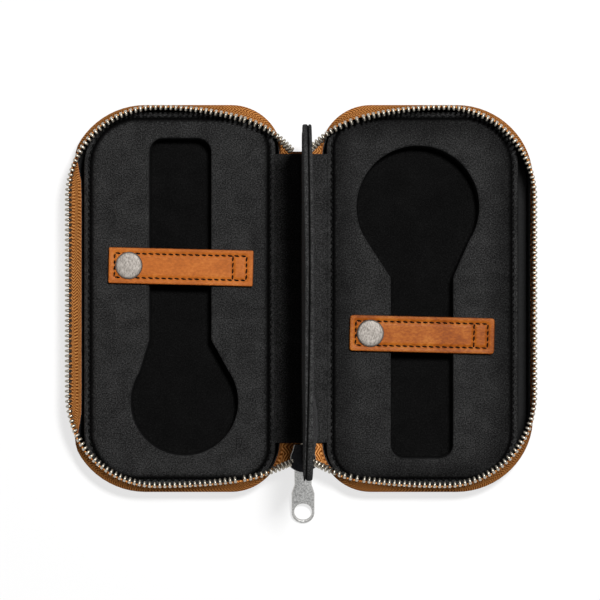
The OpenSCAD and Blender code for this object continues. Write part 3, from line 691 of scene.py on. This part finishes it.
def coverShell(side):
    x0, x1, y, t, top = case["halfX0"], case["halfX1"], case["halfY"], case["leather"], case["wallTop"]
    bm = plate(x0, x1, -y, y, 0, top, (case["spineRadius"], case["outerRadius"]), shell["cornerSegments"])
    sliced(bm, 1, -y + case["outerRadius"], y - case["outerRadius"], 8)
    sliced(bm, 2, 0, top, 4)
    low = [e for e in sharpEdges(bm, 60) if all(v.co.z < 1e-5 for v in e.verts)]
    roundEdges(bm, shell["bottomRadius"], shell["bottomSegments"], low)
    mouth = [f for f in bm.faces if all(v.co.z > top - 1e-5 for v in f.verts)]
    bmesh.ops.delete(bm, geom=mouth, context="FACES_ONLY")
    bmesh.ops.solidify(bm, geom=bm.faces[:], thickness=t)
    rim = [e for e in sharpEdges(bm, 60) if all(v.co.z > top - 0.3 for v in e.verts)]
    roundEdges(bm, shell["turnedEdge"], 3, rim)
    for v in bm.verts:
        # the outer wall leans in towards its top
        v.co.x = mix(v.co.x, bowed(v.co.x, v.co.y, wallBow[side]), max(0, (v.co.z - t) / (top - t)))
    bm.normal_update()
    centre = Vector(((x0 + x1) / 2, 0, shell["liningUpTo"]))
    for face in bm.faces:
        face.material_index = int(face.normal.dot(centre - face.calc_center_median()) > 0)
    return flipped(bm, side)


for side, name in sideName.items():
    piece = finishPiece(coverShell(side), name + "_shell", coverLeather, "cover_leather", body=halfBody[side],
                        replaces=[name + "_cover_leather", name + "_wall_leather"])
    piece.data.materials.append(microsuede)


# The folds and the spine

spine = {"half": 7.9, "low": 15.7, "high": 17.3, "rounding": 0.35, "leatherRearOver": 1.1,
         "foldShort": 1, "foldDown": 0.8, "suedeRounding": 0.25}
spineY = case["spineLength"] / 2
# The outline of the suede from the insert over the fold to the spine's middle line, in x and z
suedeProfile = [
    (11.6, 15.6), (11.6, 16.3), (11.0, 16.75), (10.3, 17.25), (9.5, 17.8), (8.7, 18.05), (7.6, 18.12),
    (4, 18.14), (0.02, 18.14), (0.02, 17.35), (7.4, 17.35), (8.7, 17.33), (9.6, 16.9), (10.4, 16.3),
    (10.9, 15.6),
]


def stripAcross(profile, y0, y1, step):
    # a strip along the spine with the given outline in x and z
    return sliced(drawnOut([(x, y0, z) for x, z in profile], (0, y1 - y0, 0)), 1, y0, y1, step)


def foldProfile():
    x, z, r = case["foldX"], case["foldZ"], case["leather"] / 2
    inner, foot = spine["half"] - 0.1, case["wallTop"] - spine["foldDown"]
    return [(x - r, foot), (x + r, foot)] + arcPoints(x, z, r, range(0, 91, 15)) \
        + [(inner, z + r), (inner, z - r), (x - r, z - r)]


for side, name in sideName.items():
    roll = stripAcross(foldProfile(), -spineY + spine["foldShort"], spineY - spine["foldShort"], 6)
    finishPiece(flipped(roll, side), name + "_fold_leather", coverLeather, "cover_leather",
                across=acrossFold(side, "roll"), replaces=[name + "_fold_roll"])
    suede = stripAcross(suedeProfile, -spineY, spineY, 4)
    roundEdges(suede, spine["suedeRounding"], 2,
               [e for e in sharpEdges(suede, 50) if all(abs(v.co.y) > spineY - 0.01 for v in e.verts)])
    finishPiece(flipped(suede, side), name + "_spine_suede", microsuede, "suede",
                across=acrossFold(side, "suede"), replaces=["spine_lining"] if side < 0 else [])

spineStrip = block(-spine["half"], spine["half"], -spineY, spineY + spine["leatherRearOver"],
                   spine["low"], spine["high"])
roundEdges(spineStrip, spine["rounding"], 3)
finishPiece(spineStrip, "spine_strip", coverLeather, "cover_leather", body="spine",
            replaces=["spine_leather"])
print("covers and spine: done")


# The padded inserts, with the hollows for the watches, and the straps' places over them

# Painted shade on the inserts: near the seam, reaching further in on the right, and in the hollows
insert = {
    "x0": 10.9, "x1": 95.8, "y": 82.4, "spineRadius": 17, "outerRadius": 24, "base": 3.0, "top": 17.0,
    "floor": 5.0, "hem": 2.8, "voxel": 0.8, "smoothing": 5, "snapHole": 6.2, "snapFloor": 13.2,
    "paintedShade": {-1: (0.3, 4.5), 1: (0.6, 14)}, "hollowPaintedShade": 0.86,
    "wave": 0.10, "ripple": 0.06, "seamDip": 0.35, "dipWidth": 3.5, "stitches": 146,
    "stitchSize": (1.7, 1.3, 0.9), "stitchSlant": -0.25,
}
pockets = {
    "headX": 51.4, "channelX": 53.2, "channelHalf": 13.7, "channelEnd": 70.5, "endRadius": 6,
    "flareY": (1.15, 0.54), "flareHalf": 0.84,
    -1: {"radius": 23.7, "y": 45.5}, 1: {"radius": 27.0, "y": 40.2},
}
straps = {
    -1: {"x": -52.7, "y": 13.9, "corner": 0.7}, 1: {"x": 53.1, "y": -15.8, "corner": 1.6},
    "turn": -math.radians(1.4), "length": 63.5, "width": 15.8, "seamX": 21.75, "snapX": -22.75,
    "seatLow": 17.02, "backingLow": 17.28, "leatherLow": 18.05, "top": 19.75,
    "stitchInset": 2.6, "stitchEnd": 3.0, "stitchBox": 9.0, "stitchPitch": 2.92, "clearOfCap": 5.6,
    "stitchSize": (2.4, 0.8, 0.6), "stitchSlant": -0.14, "stitchSunk": 0.36,
    "grooveDepth": 0.3, "grooveWidth": 0.55, "pinchDepth": 0.22, "pinchWidth": 0.75,
    "edgeDark": 0.75, "borderDark": 0.12, "pinchPaintedShade": 0.45, "darkest": 0.85,
}


def insertOutline(inset, z, count=24):
    # points round an insert, drawn in by inset
    x0, x1, y = insert["x0"] + inset, insert["x1"] - inset, insert["y"] - inset
    inner, outer = insert["spineRadius"] - inset, insert["outerRadius"] - inset
    corners = [(x1 - outer, y - outer, outer, 90), (x1 - outer, outer - y, outer, 0),
               (x0 + inner, inner - y, inner, -90), (x0 + inner, y - inner, inner, -180)]
    return [Vector((px, py, z)) for cx, cy, r, first in corners
            for px, py in arcPoints(cx, cy, r, [first - 90 * i / count for i in range(count + 1)])]


def evenly(points, count):
    # points at even distances round a closed line, each with the direction there
    closed = points + [points[0]]
    lengths = [(b - a).length for a, b in zip(closed, closed[1:])]
    step = sum(lengths) / count
    found = []
    travelled, i = 0.0, 0
    for n in range(count):
        goal = n * step
        while travelled + lengths[i] < goal:
            travelled += lengths[i]
            i += 1
        here, after = closed[i], closed[i + 1]
        found.append((here.lerp(after, (goal - travelled) / lengths[i]), (after - here).normalized()))
    return found


def seamDistance(x, y):
    # how far a place on the insert lies inside its outline
    radius = insert["spineRadius"] if x < 50 else insert["outerRadius"]
    dx, dy = min(x - insert["x0"], insert["x1"] - x), insert["y"] - abs(y)
    if dx < radius and dy < radius:
        return radius - math.hypot(radius - dx, radius - dy)
    return min(dx, dy)


def pocketCutters(side):
    # the watch's hollow: a round head in front, a flare and a strap channel; the right one is turned round
    r, y = pockets[side]["radius"], pockets[side]["y"]
    z0, z1 = insert["floor"], insert["top"] + 4
    hx, cx, half, end = pockets["headX"], pockets["channelX"], pockets["channelHalf"], pockets["channelEnd"]
    channel = block(-cx - half, -cx + half, -y, end, z0, z1)
    roundEdges(channel, pockets["endRadius"], 8,
               [e for e in channel.edges if rise(e) > 1 and min(v.co.y for v in e.verts) > end - 1e-4])
    far, near = [share * r - y for share in pockets["flareY"]]
    wide = pockets["flareHalf"] * r
    flare = drawnOut([(-cx - half, far, z0), (-cx + half, far, z0), (-hx + wide, near, z0),
                      (-hx - wide, near, z0)], (0, 0, z1 - z0))
    cutters = [cylinder(-hx, -y, r, z0, z1), channel, flare]
    return [rotated(cutter, math.pi, "Z") for cutter in cutters] if side > 0 else cutters


def atStrap(bm, side):
    return moved(rotated(bm, straps["turn"], "Z"), straps[side]["x"], straps[side]["y"], 0)


def strapPoint(side, x, y, z):
    turn = Matrix.Rotation(straps["turn"], 3, "Z")
    return turn @ Vector((x, y, 0)) + Vector((straps[side]["x"], straps[side]["y"], z))


def insertPad(side):
    # foam wrapped in microsuede: cut, then remeshed and smoothed so that every rim turns over softly
    edge = insert["hem"] + 0.05
    pad = flipped(plate(insert["x0"] + edge, insert["x1"] - edge, -insert["y"] + edge, insert["y"] - edge,
                        insert["base"] + 0.1, insert["top"] + 0.25,
                        (insert["spineRadius"] - edge, insert["outerRadius"] - edge), 16), side)
    snapAt = strapPoint(side, straps["snapX"], 0, 0)
    snapHole = cylinder(snapAt.x, snapAt.y, insert["snapHole"], insert["snapFloor"], insert["top"] + 5, 48)
    bm = worked(pad, pocketCutters(side) + [snapHole], [
        ("REMESH", {"mode": "VOXEL", "voxel_size": insert["voxel"], "use_smooth_shade": True}),
        ("SMOOTH", {"factor": 0.5, "iterations": insert["smoothing"]})])
    paintedShade = bm.verts.layers.float.new("paintedShade")
    depth, reach = insert["paintedShade"][side]
    for v in bm.verts:
        # slow waves of the wrapped foam, a dip to the seam where the nap is pressed flat, and painted shade
        # that darkens the suede towards the seam
        x, y = v.co.x, v.co.y
        wave = insert["wave"] * math.sin(x / 9.0 + 1.3 * side) * math.sin(y / 11.0) \
            + insert["ripple"] * math.sin(x / 4.1 + y / 6.3)
        if v.co.z > insert["top"] - 1.5:
            v.co.z += wave - 0.12
            v.co.z = min(v.co.z, insert["top"] + 0.02)
            seam = seamDistance(side * x, y) - insert["hem"]
            v.co.z -= insert["seamDip"] * (1 - ease(seam / insert["dipWidth"]))
            v[paintedShade] = max(depth * (1 - ease(seam / reach)), 0.98 * (1 - ease((seam - 0.9) / 1.9)))
        else:
            # the hollow's floor and walls: painted shade
            v[paintedShade] = insert["hollowPaintedShade"]
    return bm


def insertHem(side):
    # the folded edge band round the insert, down to its base: its section as inset, height and pucker
    top, base, hem = insert["top"], insert["base"], insert["hem"]
    section = [(hem + 0.3, base + 0.3, 0), (hem + 0.3, top - 1.5, 0), (hem, top - 0.85, 0.5),
               (hem - 0.4, top - 0.45, 0.4), (hem - 0.8, top - 0.12, 0.2), (hem - 1.2, top + 0.05, 0.05),
               (1.0, top - 0.1, 0), (0.6, top - 0.4, 0), (0.3, top - 1.0, 0), (0.15, top - 1.8, 0),
               (0.0, base + 0.3, 0)]
    rings = []
    for inset, z, pucker in section:
        ring = [point for point, way in evenly(insertOutline(inset, z), insert["stitches"] * 4)]
        for i, point in enumerate(ring):
            point.z -= pucker * (1, 0.35, -0.35, 0.35)[i % 4]
        rings.append(ring)
    bm = bridged(rings)
    paintedShade = bm.verts.layers.float.new("paintedShade")
    for v in bm.verts:
        # painted shade: the band is darker from the seam's groove down to the base
        v[paintedShade] = 0.95 * (1 - ease((v.co.z - top + 1.0) / 0.6))
    return flipped(bm, side)


def stitched(places, size, slant):
    # one hump of thread at each place, a point with the seam's direction there
    hump = bmesh.new()
    bmesh.ops.create_uvsphere(hump, u_segments=8, v_segments=5, radius=0.5)
    scaled(rotated(hump, math.pi / 2, "Y"), *size)
    return copies(meshOf(hump, "stitch"), [
        Matrix.Translation(point) @ Matrix.Rotation(math.atan2(way.y, way.x) + slant, 4, "Z")
        for point, way in places])


for side, name in sideName.items():
    finishPiece(insertPad(side), name + "_insert", microsuede, "suede", body=halfBody[side],
                replaces=[name + "_lining", name + "_foam_core"], padded=0.85, smoothAngle=180)
    finishPiece(insertHem(side), name + "_insert_hem", microsuede, "suede", body=halfBody[side],
                smoothAngle=70)
    seamLine = evenly(insertOutline(insert["hem"] - 0.15, insert["top"] - 0.55), insert["stitches"])
    finishPiece(flipped(stitched(seamLine, insert["stitchSize"], insert["stitchSlant"]), side),
                name + "_hem_stitches", blackThread, "suede", body=halfBody[side])
print("inserts: done")


# The holding straps, sewn at one end and snapped at the other

def strapLines():
    # the stitch line of a strap: round the long box, and a small box at the sewn end
    half, y = straps["length"] / 2, straps["width"] / 2 - straps["stitchInset"]
    x0, x1, box = straps["stitchInset"] - half, half - straps["stitchEnd"], half - straps["stitchBox"]
    runs = [((x0, y), (x1, y)), ((x0, -y), (x1, -y)), ((x0, -y), (x0, y)), ((x1, -y), (x1, y)),
            ((box, -y), (box, y))]
    places = []
    for (ax, ay), (bx, by) in runs:
        count = max(2, round(math.hypot(bx - ax, by - ay) / straps["stitchPitch"]))
        for share in [(i + 0.5) / count for i in range(count)]:
            places.append((mix(ax, bx, share), mix(ay, by, share), math.atan2(by - ay, bx - ax)))
    return runs, places


strapRuns, strapStitches = strapLines()


def toRun(x, y, ax, ay, bx, by):
    # how far a place lies from one run of stitches
    dx, dy = bx - ax, by - ay
    share = clamped(((x - ax) * dx + (y - ay) * dy) / (dx * dx + dy * dy))
    return math.hypot(x - ax - share * dx, y - ay - share * dy)


def strapSheet(side, low, high, inset, step, topRound):
    half, w, r = straps["length"] / 2 - inset, straps["width"] / 2 - inset, straps[side]["corner"]
    bm = plate(-half, half, -w, w, low, high, (r, r), 5)
    roundRims(bm, topRound, 3)
    sliced(bm, 0, -half, half, step)
    return sliced(bm, 1, -w, w, step), bm.verts.layers.float.new("burnishAndPaintedShade")


def strapFace(side):
    # the strap's leather, darker at its edges, with a groove under the stitches and a pinch at each,
    # and painted shade in each pinch
    bm, shade = strapSheet(side, straps["leatherLow"], straps["top"] - 0.05, 0, 0.5, 0.35)
    half, w = straps["length"] / 2, straps["width"] / 2
    for v in bm.verts:
        x, y = v.co.x, v.co.y
        toEdge = min(half - abs(x), w - abs(y))
        v[shade] = straps["edgeDark"] * (1 - ease(toEdge / 0.5)) \
            + straps["borderDark"] * (1 - ease(toEdge / straps["stitchInset"]))
        if v.co.z > straps["top"] - 0.3:
            gap = min(toRun(x, y, *a, *b) for a, b in strapRuns)
            pinch = min(math.hypot(x - px, y - py) for px, py, angle in strapStitches)
            v.co.z -= straps["grooveDepth"] * math.exp(-(gap / straps["grooveWidth"]) ** 2)
            v.co.z -= straps["pinchDepth"] * math.exp(-(pinch / straps["pinchWidth"]) ** 2)
            # painted shade in the pinch by each stitch
            v[shade] = min(straps["darkest"], v[shade] + straps["pinchPaintedShade"] * math.exp(-(pinch / 0.6) ** 2))
    return bm


def strapLining(side):
    # the thin leather below, which reaches down to the insert at the sewn end
    bm = strapSheet(side, straps["seatLow"], straps["leatherLow"] + 0.02, 0.15, 2.0, 0.2)[0]
    for v in bm.verts:
        if v.co.z < 17.6 and v.co.x < straps["seamX"]:
            v.co.z += (straps["backingLow"] - straps["seatLow"]) * ease((straps["seamX"] - v.co.x) / 1.5)
    return bm


for side, name in sideName.items():
    seam = [strapPoint(side, straps["seamX"] + past, 0, 19) for past in (0.9, -0.9)]
    bend = ((halfBody[side], name + "_flap"), seam[0], seam[1])
    finishPiece(atStrap(strapFace(side), side), name + "_strap_leather", strapLeather[side], "strap_leather",
                across=bend, replaces=[name + "_strap", name + "_strap_seat"], smoothAngle=60)
    finishPiece(atStrap(strapLining(side), side), name + "_strap_lining", strapLeather[side], "strap_leather",
                across=bend, replaces=[name + "_strap_backing"], smoothAngle=60)
    humps = [(Vector((x, y, straps["top"] - straps["stitchSunk"])), Vector((math.cos(a), math.sin(a), 0)))
             for x, y, a in strapStitches if math.hypot(x - straps["snapX"], y) > straps["clearOfCap"]]
    finishPiece(atStrap(stitched(humps, straps["stitchSize"], straps["stitchSlant"]), side),
                name + "_strap_stitches", brownThread, "strap_leather", across=bend)

snap = {"radius": 6.0, "base": 19.75, "height": 1.25, "postRadius": 1.5, "postLength": 2.6}


def snapCap(side):
    # a turned cap: a flat dome with a rolled edge, on its post
    r, z, top = snap["radius"], snap["base"], snap["base"] + snap["height"]
    post, foot = snap["postRadius"], snap["base"] - snap["postLength"]
    profile = [(0, top), (3.5, top - 0.01), (5.1, top - 0.05), (5.5, top - 0.16), (5.8, top - 0.42),
               (r - 0.04, top - 0.8), (r, z + 0.35), (r - 0.12, z + 0.1), (r - 0.45, z + 0.02),
               (post, z + 0.02), (post, foot), (0, foot)]
    bm = bmesh.new()
    verts = [bm.verts.new((x, 0, zz)) for x, zz in profile]
    edges = [bm.edges.new(pair) for pair in zip(verts, verts[1:])]
    bmesh.ops.spin(bm, geom=verts + edges, cent=(0, 0, 0), axis=(0, 0, 1), angle=2 * math.pi, steps=64,
                   use_merge=True)
    bmesh.ops.remove_doubles(bm, verts=bm.verts, dist=1e-4)
    bmesh.ops.recalc_face_normals(bm, faces=bm.faces)
    return atStrap(moved(bm, straps["snapX"], 0, 0), side)


for side, name in sideName.items():
    finishPiece(snapCap(side), name + "_cap", capSilver, "antique_nickel", body=name + "_flap",
                replaces=[name + "_snap_cap"], smoothAngle=50)
print("straps: done")


# The divider: two padded suede faces and their sewn foot

divider = {
    "x": 2.2, "y": -1.75, "width": 147.5, "height": 73, "radius": 11, "thickness": 4.0, "bottom": 19.7,
    "lean": 0.2, "edge": 0.78, "leftLayer": 2.4, "warp": 1.1, "seamShift": 0.9, "frontShift": 0.45,
    "belly": 2.6, "bellyHeight": 26, "bellyFade": 13, "frontFrom": 0.7, "frontOver": 0.15,
    "fullness": 0.14, "fullnessReach": 14, "edgeDip": 0.12, "ripple": 0.05, "seamPaintedShade": 0.95,
    "footLow": 18.3, "footHigh": 19.5, "footRounding": 0.4,
}


def dividerFace(x0, x1, outward):
    # a padded face, drawn flat and then stood up: x is its height here, y its width, z its thickness
    w, h, r = divider["width"], divider["height"], divider["radius"]
    bm = plate(0, h, -w / 2, w / 2, x0, x1, (r, r), 10)
    roundRims(bm, divider["edge"], 4)
    sliced(bm, 1, -w / 2 + r, w / 2 - r, 5)
    sliced(bm, 0, r, h - r, 5)
    middle, layer = (x0 + x1) / 2, x1 - x0
    paintedShade = bm.verts.layers.float.new("paintedShade")
    for v in bm.verts:
        # painted shade: each face darker towards the seam between the two faces
        v[paintedShade] = divider["seamPaintedShade"] * ease(-(v.co.z - middle) * outward / layer * 4 - 0.7)
        # the face is fuller in its middle and dips at the sewn line near its edge
        inward = min(v.co.x, h - v.co.x, w / 2 - abs(v.co.y))
        if (v.co.z - middle) * outward > 0:
            ripple = divider["ripple"] * math.sin(v.co.x / 7) * math.sin(v.co.y / 9)
            full = divider["fullness"] * ease(inward / divider["fullnessReach"])
            v.co.z += outward * (full + ripple - divider["edgeDip"])
        # the free edge bends a little to the right in its middle, the seam between the faces runs to the
        # left toward the front, and the right face bellies over its foot near its front end
        toFront, outer = 0.5 - v.co.y / w, ease((v.co.z - middle) * outward / layer + 0.5)
        nearFront = ease((toFront - divider["frontFrom"]) / divider["frontOver"])
        belly = divider["belly"] * nearFront * math.sin(math.pi * clamped(v.co.x / divider["bellyHeight"])) \
            * clamped((w / 2 - abs(v.co.y)) / divider["bellyFade"])
        v.co.z += divider["warp"] * (1 - (v.co.y / (w / 2)) ** 2) * (v.co.x / h) ** 2
        v.co.z += mix(-divider["seamShift"] * toFront, divider["frontShift"] * nearFront, outer)
        if outward > 0:
            v.co.z += belly * outer
    flipped(rotated(bm, -math.pi / 2, "Y"), -1)
    rotated(bm, math.radians(divider["lean"]), "Y")
    return moved(bm, divider["x"] + divider["thickness"] / 2, divider["y"], divider["bottom"])


thick = divider["thickness"]
seamAt = divider["leftLayer"] - thick
for name, x0, x1, outward in (("left", -thick, seamAt - 0.02, -1), ("right", seamAt + 0.02, 0, 1)):
    finishPiece(dividerFace(x0, x1, outward), f"divider_{name}_pad", dividerSuedePaintedLighter, "suede", body="divider",
                replaces=[f"divider_{name}_face"], padded=0.8)
foot = block(divider["x"] - thick / 2, divider["x"] + thick / 2, -spineY, spineY,
             divider["footLow"], divider["footHigh"])
roundEdges(foot, divider["footRounding"], 3)
finishPiece(foot, "divider_foot_suede", dividerSuedePaintedLighter, "suede", body="divider_base", replaces=["divider_foot"])
print("divider: done")


# The slider, its bail and the pull

# In the slider and the pull, worn sets how much lighter the side rims are painted: partly rubbed bare, partly
# a painted highlight
slider = {
    "x": 0.9, "frontY": -64.1, "z": 16.5, "length": 12.2, "width": 11.2, "gap": 1.2, "plate": 1.0,
    "narrower": 1.3, "endRadius": 8.4, "rounding": 0.32, "postHalf": 1.3, "postY": (-11, -7.6),
    "rail": 0.7, "railY": (-6.4, -1.2), "railInset": 2.2, "railZ": 0.65, "worn": 0.6,
}
bail = {"width": 3, "bar": 1.2, "reach": 1.9, "barZ": 12.4, "topZ": 14.32, "rounding": 0.25}
pull = {
    "y": -70.5, "z": 13.35, "slope": math.radians(22.6049), "length": 32, "width": 10.2, "wideAt": 17.5,
    "neck": 7.6, "neckLength": 13, "thickness": 1.4, "rounding": 0.42, "hole": 3.9, "holeStretch": 1.07,
    "slotHalf": 2.2, "slotY": (-5.8, 3), "worn": 0.8,
}
# The two narrow ends of the tape under the slider
tapeEnd = {"apart": 2.6, "outer": 1.4, "inner": 2.5, "y": (-70.65, -63.3), "z": (16.1, 16.9),
           "rounding": 0.15}


def markWornAndLitRims(bm, share):
    # the rounded side rims of a flat piece that lies along x and y, marked to be painted lighter: partly
    # rubbed bare, partly a painted highlight
    worn = bm.verts.layers.float.new("worn")
    bm.normal_update()
    for v in bm.verts:
        v[worn] = share if 0.25 < abs(v.normal.z) < 0.93 and abs(v.normal.x) > 0.2 else 0.0


def bothSides(right, z):
    # a closed outline from its right half, whose last point is at the tip
    return [(x, y, z) for x, y in right + [(-x, y) for x, y in reversed(right[:-1])]]


def sliderPlate(z0):
    # the slider's plate from above: narrow at the joined end, wide and round at the open end
    wide = slider["width"] / 2
    narrow, r = wide - slider["narrower"], slider["endRadius"]
    right = [(narrow - 1.0, 0), (narrow - 0.25, -0.3), (narrow, -1.4), (narrow + 0.3, -2.6),
             (wide - 0.35, -4.1), (wide, -5.4)]
    low = -math.degrees(math.acos(wide / r))
    right += arcPoints(0, r - slider["length"], r, [mix(low, -90, i / 8) for i in range(9)])
    bm = drawnOut(bothSides(right, z0), (0, 0, slider["plate"]))
    roundRims(bm, slider["rounding"], 3)
    return bm


def sliderShell():
    gap, half = slider["gap"], slider["postHalf"]
    bm = sliderPlate(gap)
    joined(bm, sliderPlate(-gap - slider["plate"]))
    joined(bm, plate(-half, half, *slider["postY"], -gap - 0.3, gap + 0.3, (0.6, 0.6), 4))
    railX, railZ = slider["width"] / 2 - slider["railInset"], slider["railZ"]
    for x in (-railX - slider["rail"], railX):
        for z0, z1 in ((-gap - 0.2, -railZ), (railZ, gap + 0.2)):
            joined(bm, block(x, x + slider["rail"], *slider["railY"], z0, z1))
    markWornAndLitRims(bm, slider["worn"])
    return moved(bm, slider["x"], slider["frontY"], slider["z"])


def sliderBail():
    # the small bridge that the pull hangs on: its bar and two legs
    low, half, reach = bail["barZ"] - bail["bar"], bail["width"] / 2, bail["reach"]
    end = reach + bail["bar"]
    bm = bmesh.new()
    for y0, y1, z1 in ((-end, end, bail["barZ"]), (-end, -reach, bail["topZ"]), (reach, end, bail["topZ"])):
        bar = block(-half, half, y0, y1, low, z1)
        roundEdges(bar, bail["rounding"], 2)
        joined(bm, bar)
    return moved(bm, slider["x"], pull["y"], 0)


def pullTab():
    half, neck, r = pull["thickness"] / 2, pull["neck"] / 2, pull["width"] / 2
    neckEnd, wideAt, tipY = -pull["neckLength"], -pull["wideAt"], r - pull["length"]
    right = [(neck, 0.0), (neck, neckEnd), (neck + 0.25, neckEnd - 1), (r - 0.25, wideAt + 1), (r, wideAt)]
    right += arcPoints(0, tipY, r, range(0, -91, -9))
    bm = drawnOut(bothSides(right, -half), (0, 0, 2 * half))
    slot = plate(-pull["slotHalf"], pull["slotHalf"], *pull["slotY"], -4, 4, (0.8, 0.8), 3)
    bore = moved(scaled(cylinder(0, 0, pull["hole"], -4, 4), 1, pull["holeStretch"], 1), 0, tipY + 0.5, 0)
    bm = worked(bm, [bore, slot], [
        ("WELD", {"merge_threshold": 0.001}),
        ("BEVEL", {"width": pull["rounding"], "segments": 3, "limit_method": "ANGLE",
                   "angle_limit": math.radians(50)})])
    joined(bm, rotated(cylinder(0, 0, half, -neck, neck, 24), math.pi / 2, "Y"))
    markWornAndLitRims(bm, pull["worn"])
    return moved(rotated(bm, pull["slope"], "X"), slider["x"], pull["y"], pull["z"])


def endTape():
    bm = bmesh.new()
    for s in (-1, 1):
        x = slider["x"] + s * tapeEnd["apart"]
        joined(bm, block(*sorted((x + s * tapeEnd["outer"], x - s * tapeEnd["inner"])), *tapeEnd["y"],
                         *tapeEnd["z"]))
    roundEdges(bm, tapeEnd["rounding"], 1)
    along, across = bm.verts.layers.float.new("along"), bm.verts.layers.float.new("across")
    for v in bm.verts:
        v[along], v[across] = v.co.y * mm, v.co.x * mm
    return bm


finishPiece(sliderShell(), "slider_shell", darkZinc, "zip_metal", body="slider", replaces=["slider_body"])
finishPiece(sliderBail(), "slider_bridge", darkZinc, "zip_metal", body="slider", replaces=["slider_bail"])
finishPiece(pullTab(), "pull_tab", pullMetal, "zip_metal", body="pull", replaces=["zip_pull"])
finishPiece(endTape(), "zip_end_weave", zipTapeWeave, "zip_tape", body="spine", replaces=["zip_end_tape"])
print("slider and pull: done")


# The finishes of the solids that stay

nodeFinish = {"cover_board": fibreboard, "divider_core": fibreboard, "snap_socket": capSilver,
              "snap_stud": capSilver, "zip_end_teeth": zipNickel}
for nodeName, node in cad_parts.items():
    if not node.hide_render:
        node.data.materials.clear()
        node.data.materials.append(next(m for key, m in nodeFinish.items() if nodeName.endswith(key)))


# The floor, the light and the camera

studio = {
    "floorHalf": 3.0, "floorLift": 0.74, "worldStrength": 0.03, "reflected": 0.6,
    "key": {"place": (0.2, 0.29, 1.25), "size": 0.16, "power": 15.5},
    "fill": {"place": (-0.7, -0.3, 0.9), "size": 0.8, "power": 0.3},
}
photoView = {"x": -0.45, "y": 6.75, "z": 1100, "widthSeen": 267.9, "sensor": 36}


def seenPlain(tree):
    # 1 for a ray from the camera, a gloss or glass, and 0 for the light on the object
    rays = addNode(tree, "LightPath").node.outputs
    seen = rays["Is Camera Ray"]
    for kind in ("Is Glossy Ray", "Is Transmission Ray"):
        seen = addNode(tree, "Math", {0: seen, 1: rays[kind]}, operation="MAXIMUM")
    return seen


def softBox(name, place, size, power):
    # a square lamp that faces the middle of the case
    lamp = bpy.data.lights.new(name, "AREA")
    lamp.shape, lamp.size, lamp.energy = "SQUARE", size, power
    holder = inScene(name, lamp)
    holder.location = place
    holder.rotation_euler = (-Vector(place)).to_track_quat("-Z", "Y").to_euler()


floorShape = bmesh.new()
bmesh.ops.create_grid(floorShape, x_segments=1, y_segments=1, size=studio["floorHalf"])
floor = inScene("floor", meshOf(floorShape, "floor"))
# White paper: matt, and lifted to white only where it is seen, so that it keeps the shadow
floorPaper, tree = newMaterial("white paper sweep")
finished(floorPaper, {"Base Color": colour("#969696"), "Roughness": 0.9, "Specular IOR Level": 0.1})
lift = addNode(tree, "Math", {0: seenPlain(tree), 1: studio["floorLift"]}, operation="MULTIPLY")
glow = addNode(tree, "Emission", {"Strength": lift})
both = addNode(tree, "AddShader", {0: tree.nodes["Principled BSDF"].outputs["BSDF"], 1: glow})
setInputs(tree, tree.nodes["Material Output"], {"Surface": both})
floor.data.materials.append(floorPaper)

world = bpy.data.worlds.new("studio")
world.use_nodes = True
tree = world.node_tree
strength = addNode(tree, "Mix", {"Factor": seenPlain(tree), "A": studio["worldStrength"],
                                 "B": studio["reflected"]})
setInputs(tree, tree.nodes["Background"], {"Color": (1, 1, 1, 1), "Strength": strength})
bpy.context.scene.world = world

for name in ("key", "fill"):
    softBox(name, **studio[name])

camera = inScene("camera", bpy.data.cameras.new("camera"))
camera.data.sensor_width = photoView["sensor"]
camera.data.lens = photoView["sensor"] * photoView["z"] / photoView["widthSeen"]
camera.data.clip_end = 20
camera.location = (photoView["x"] * mm, photoView["y"] * mm, photoView["z"] * mm)
bpy.context.scene.camera = camera
bpy.context.scene.view_settings.view_transform = "Standard"
print("light and camera: done")
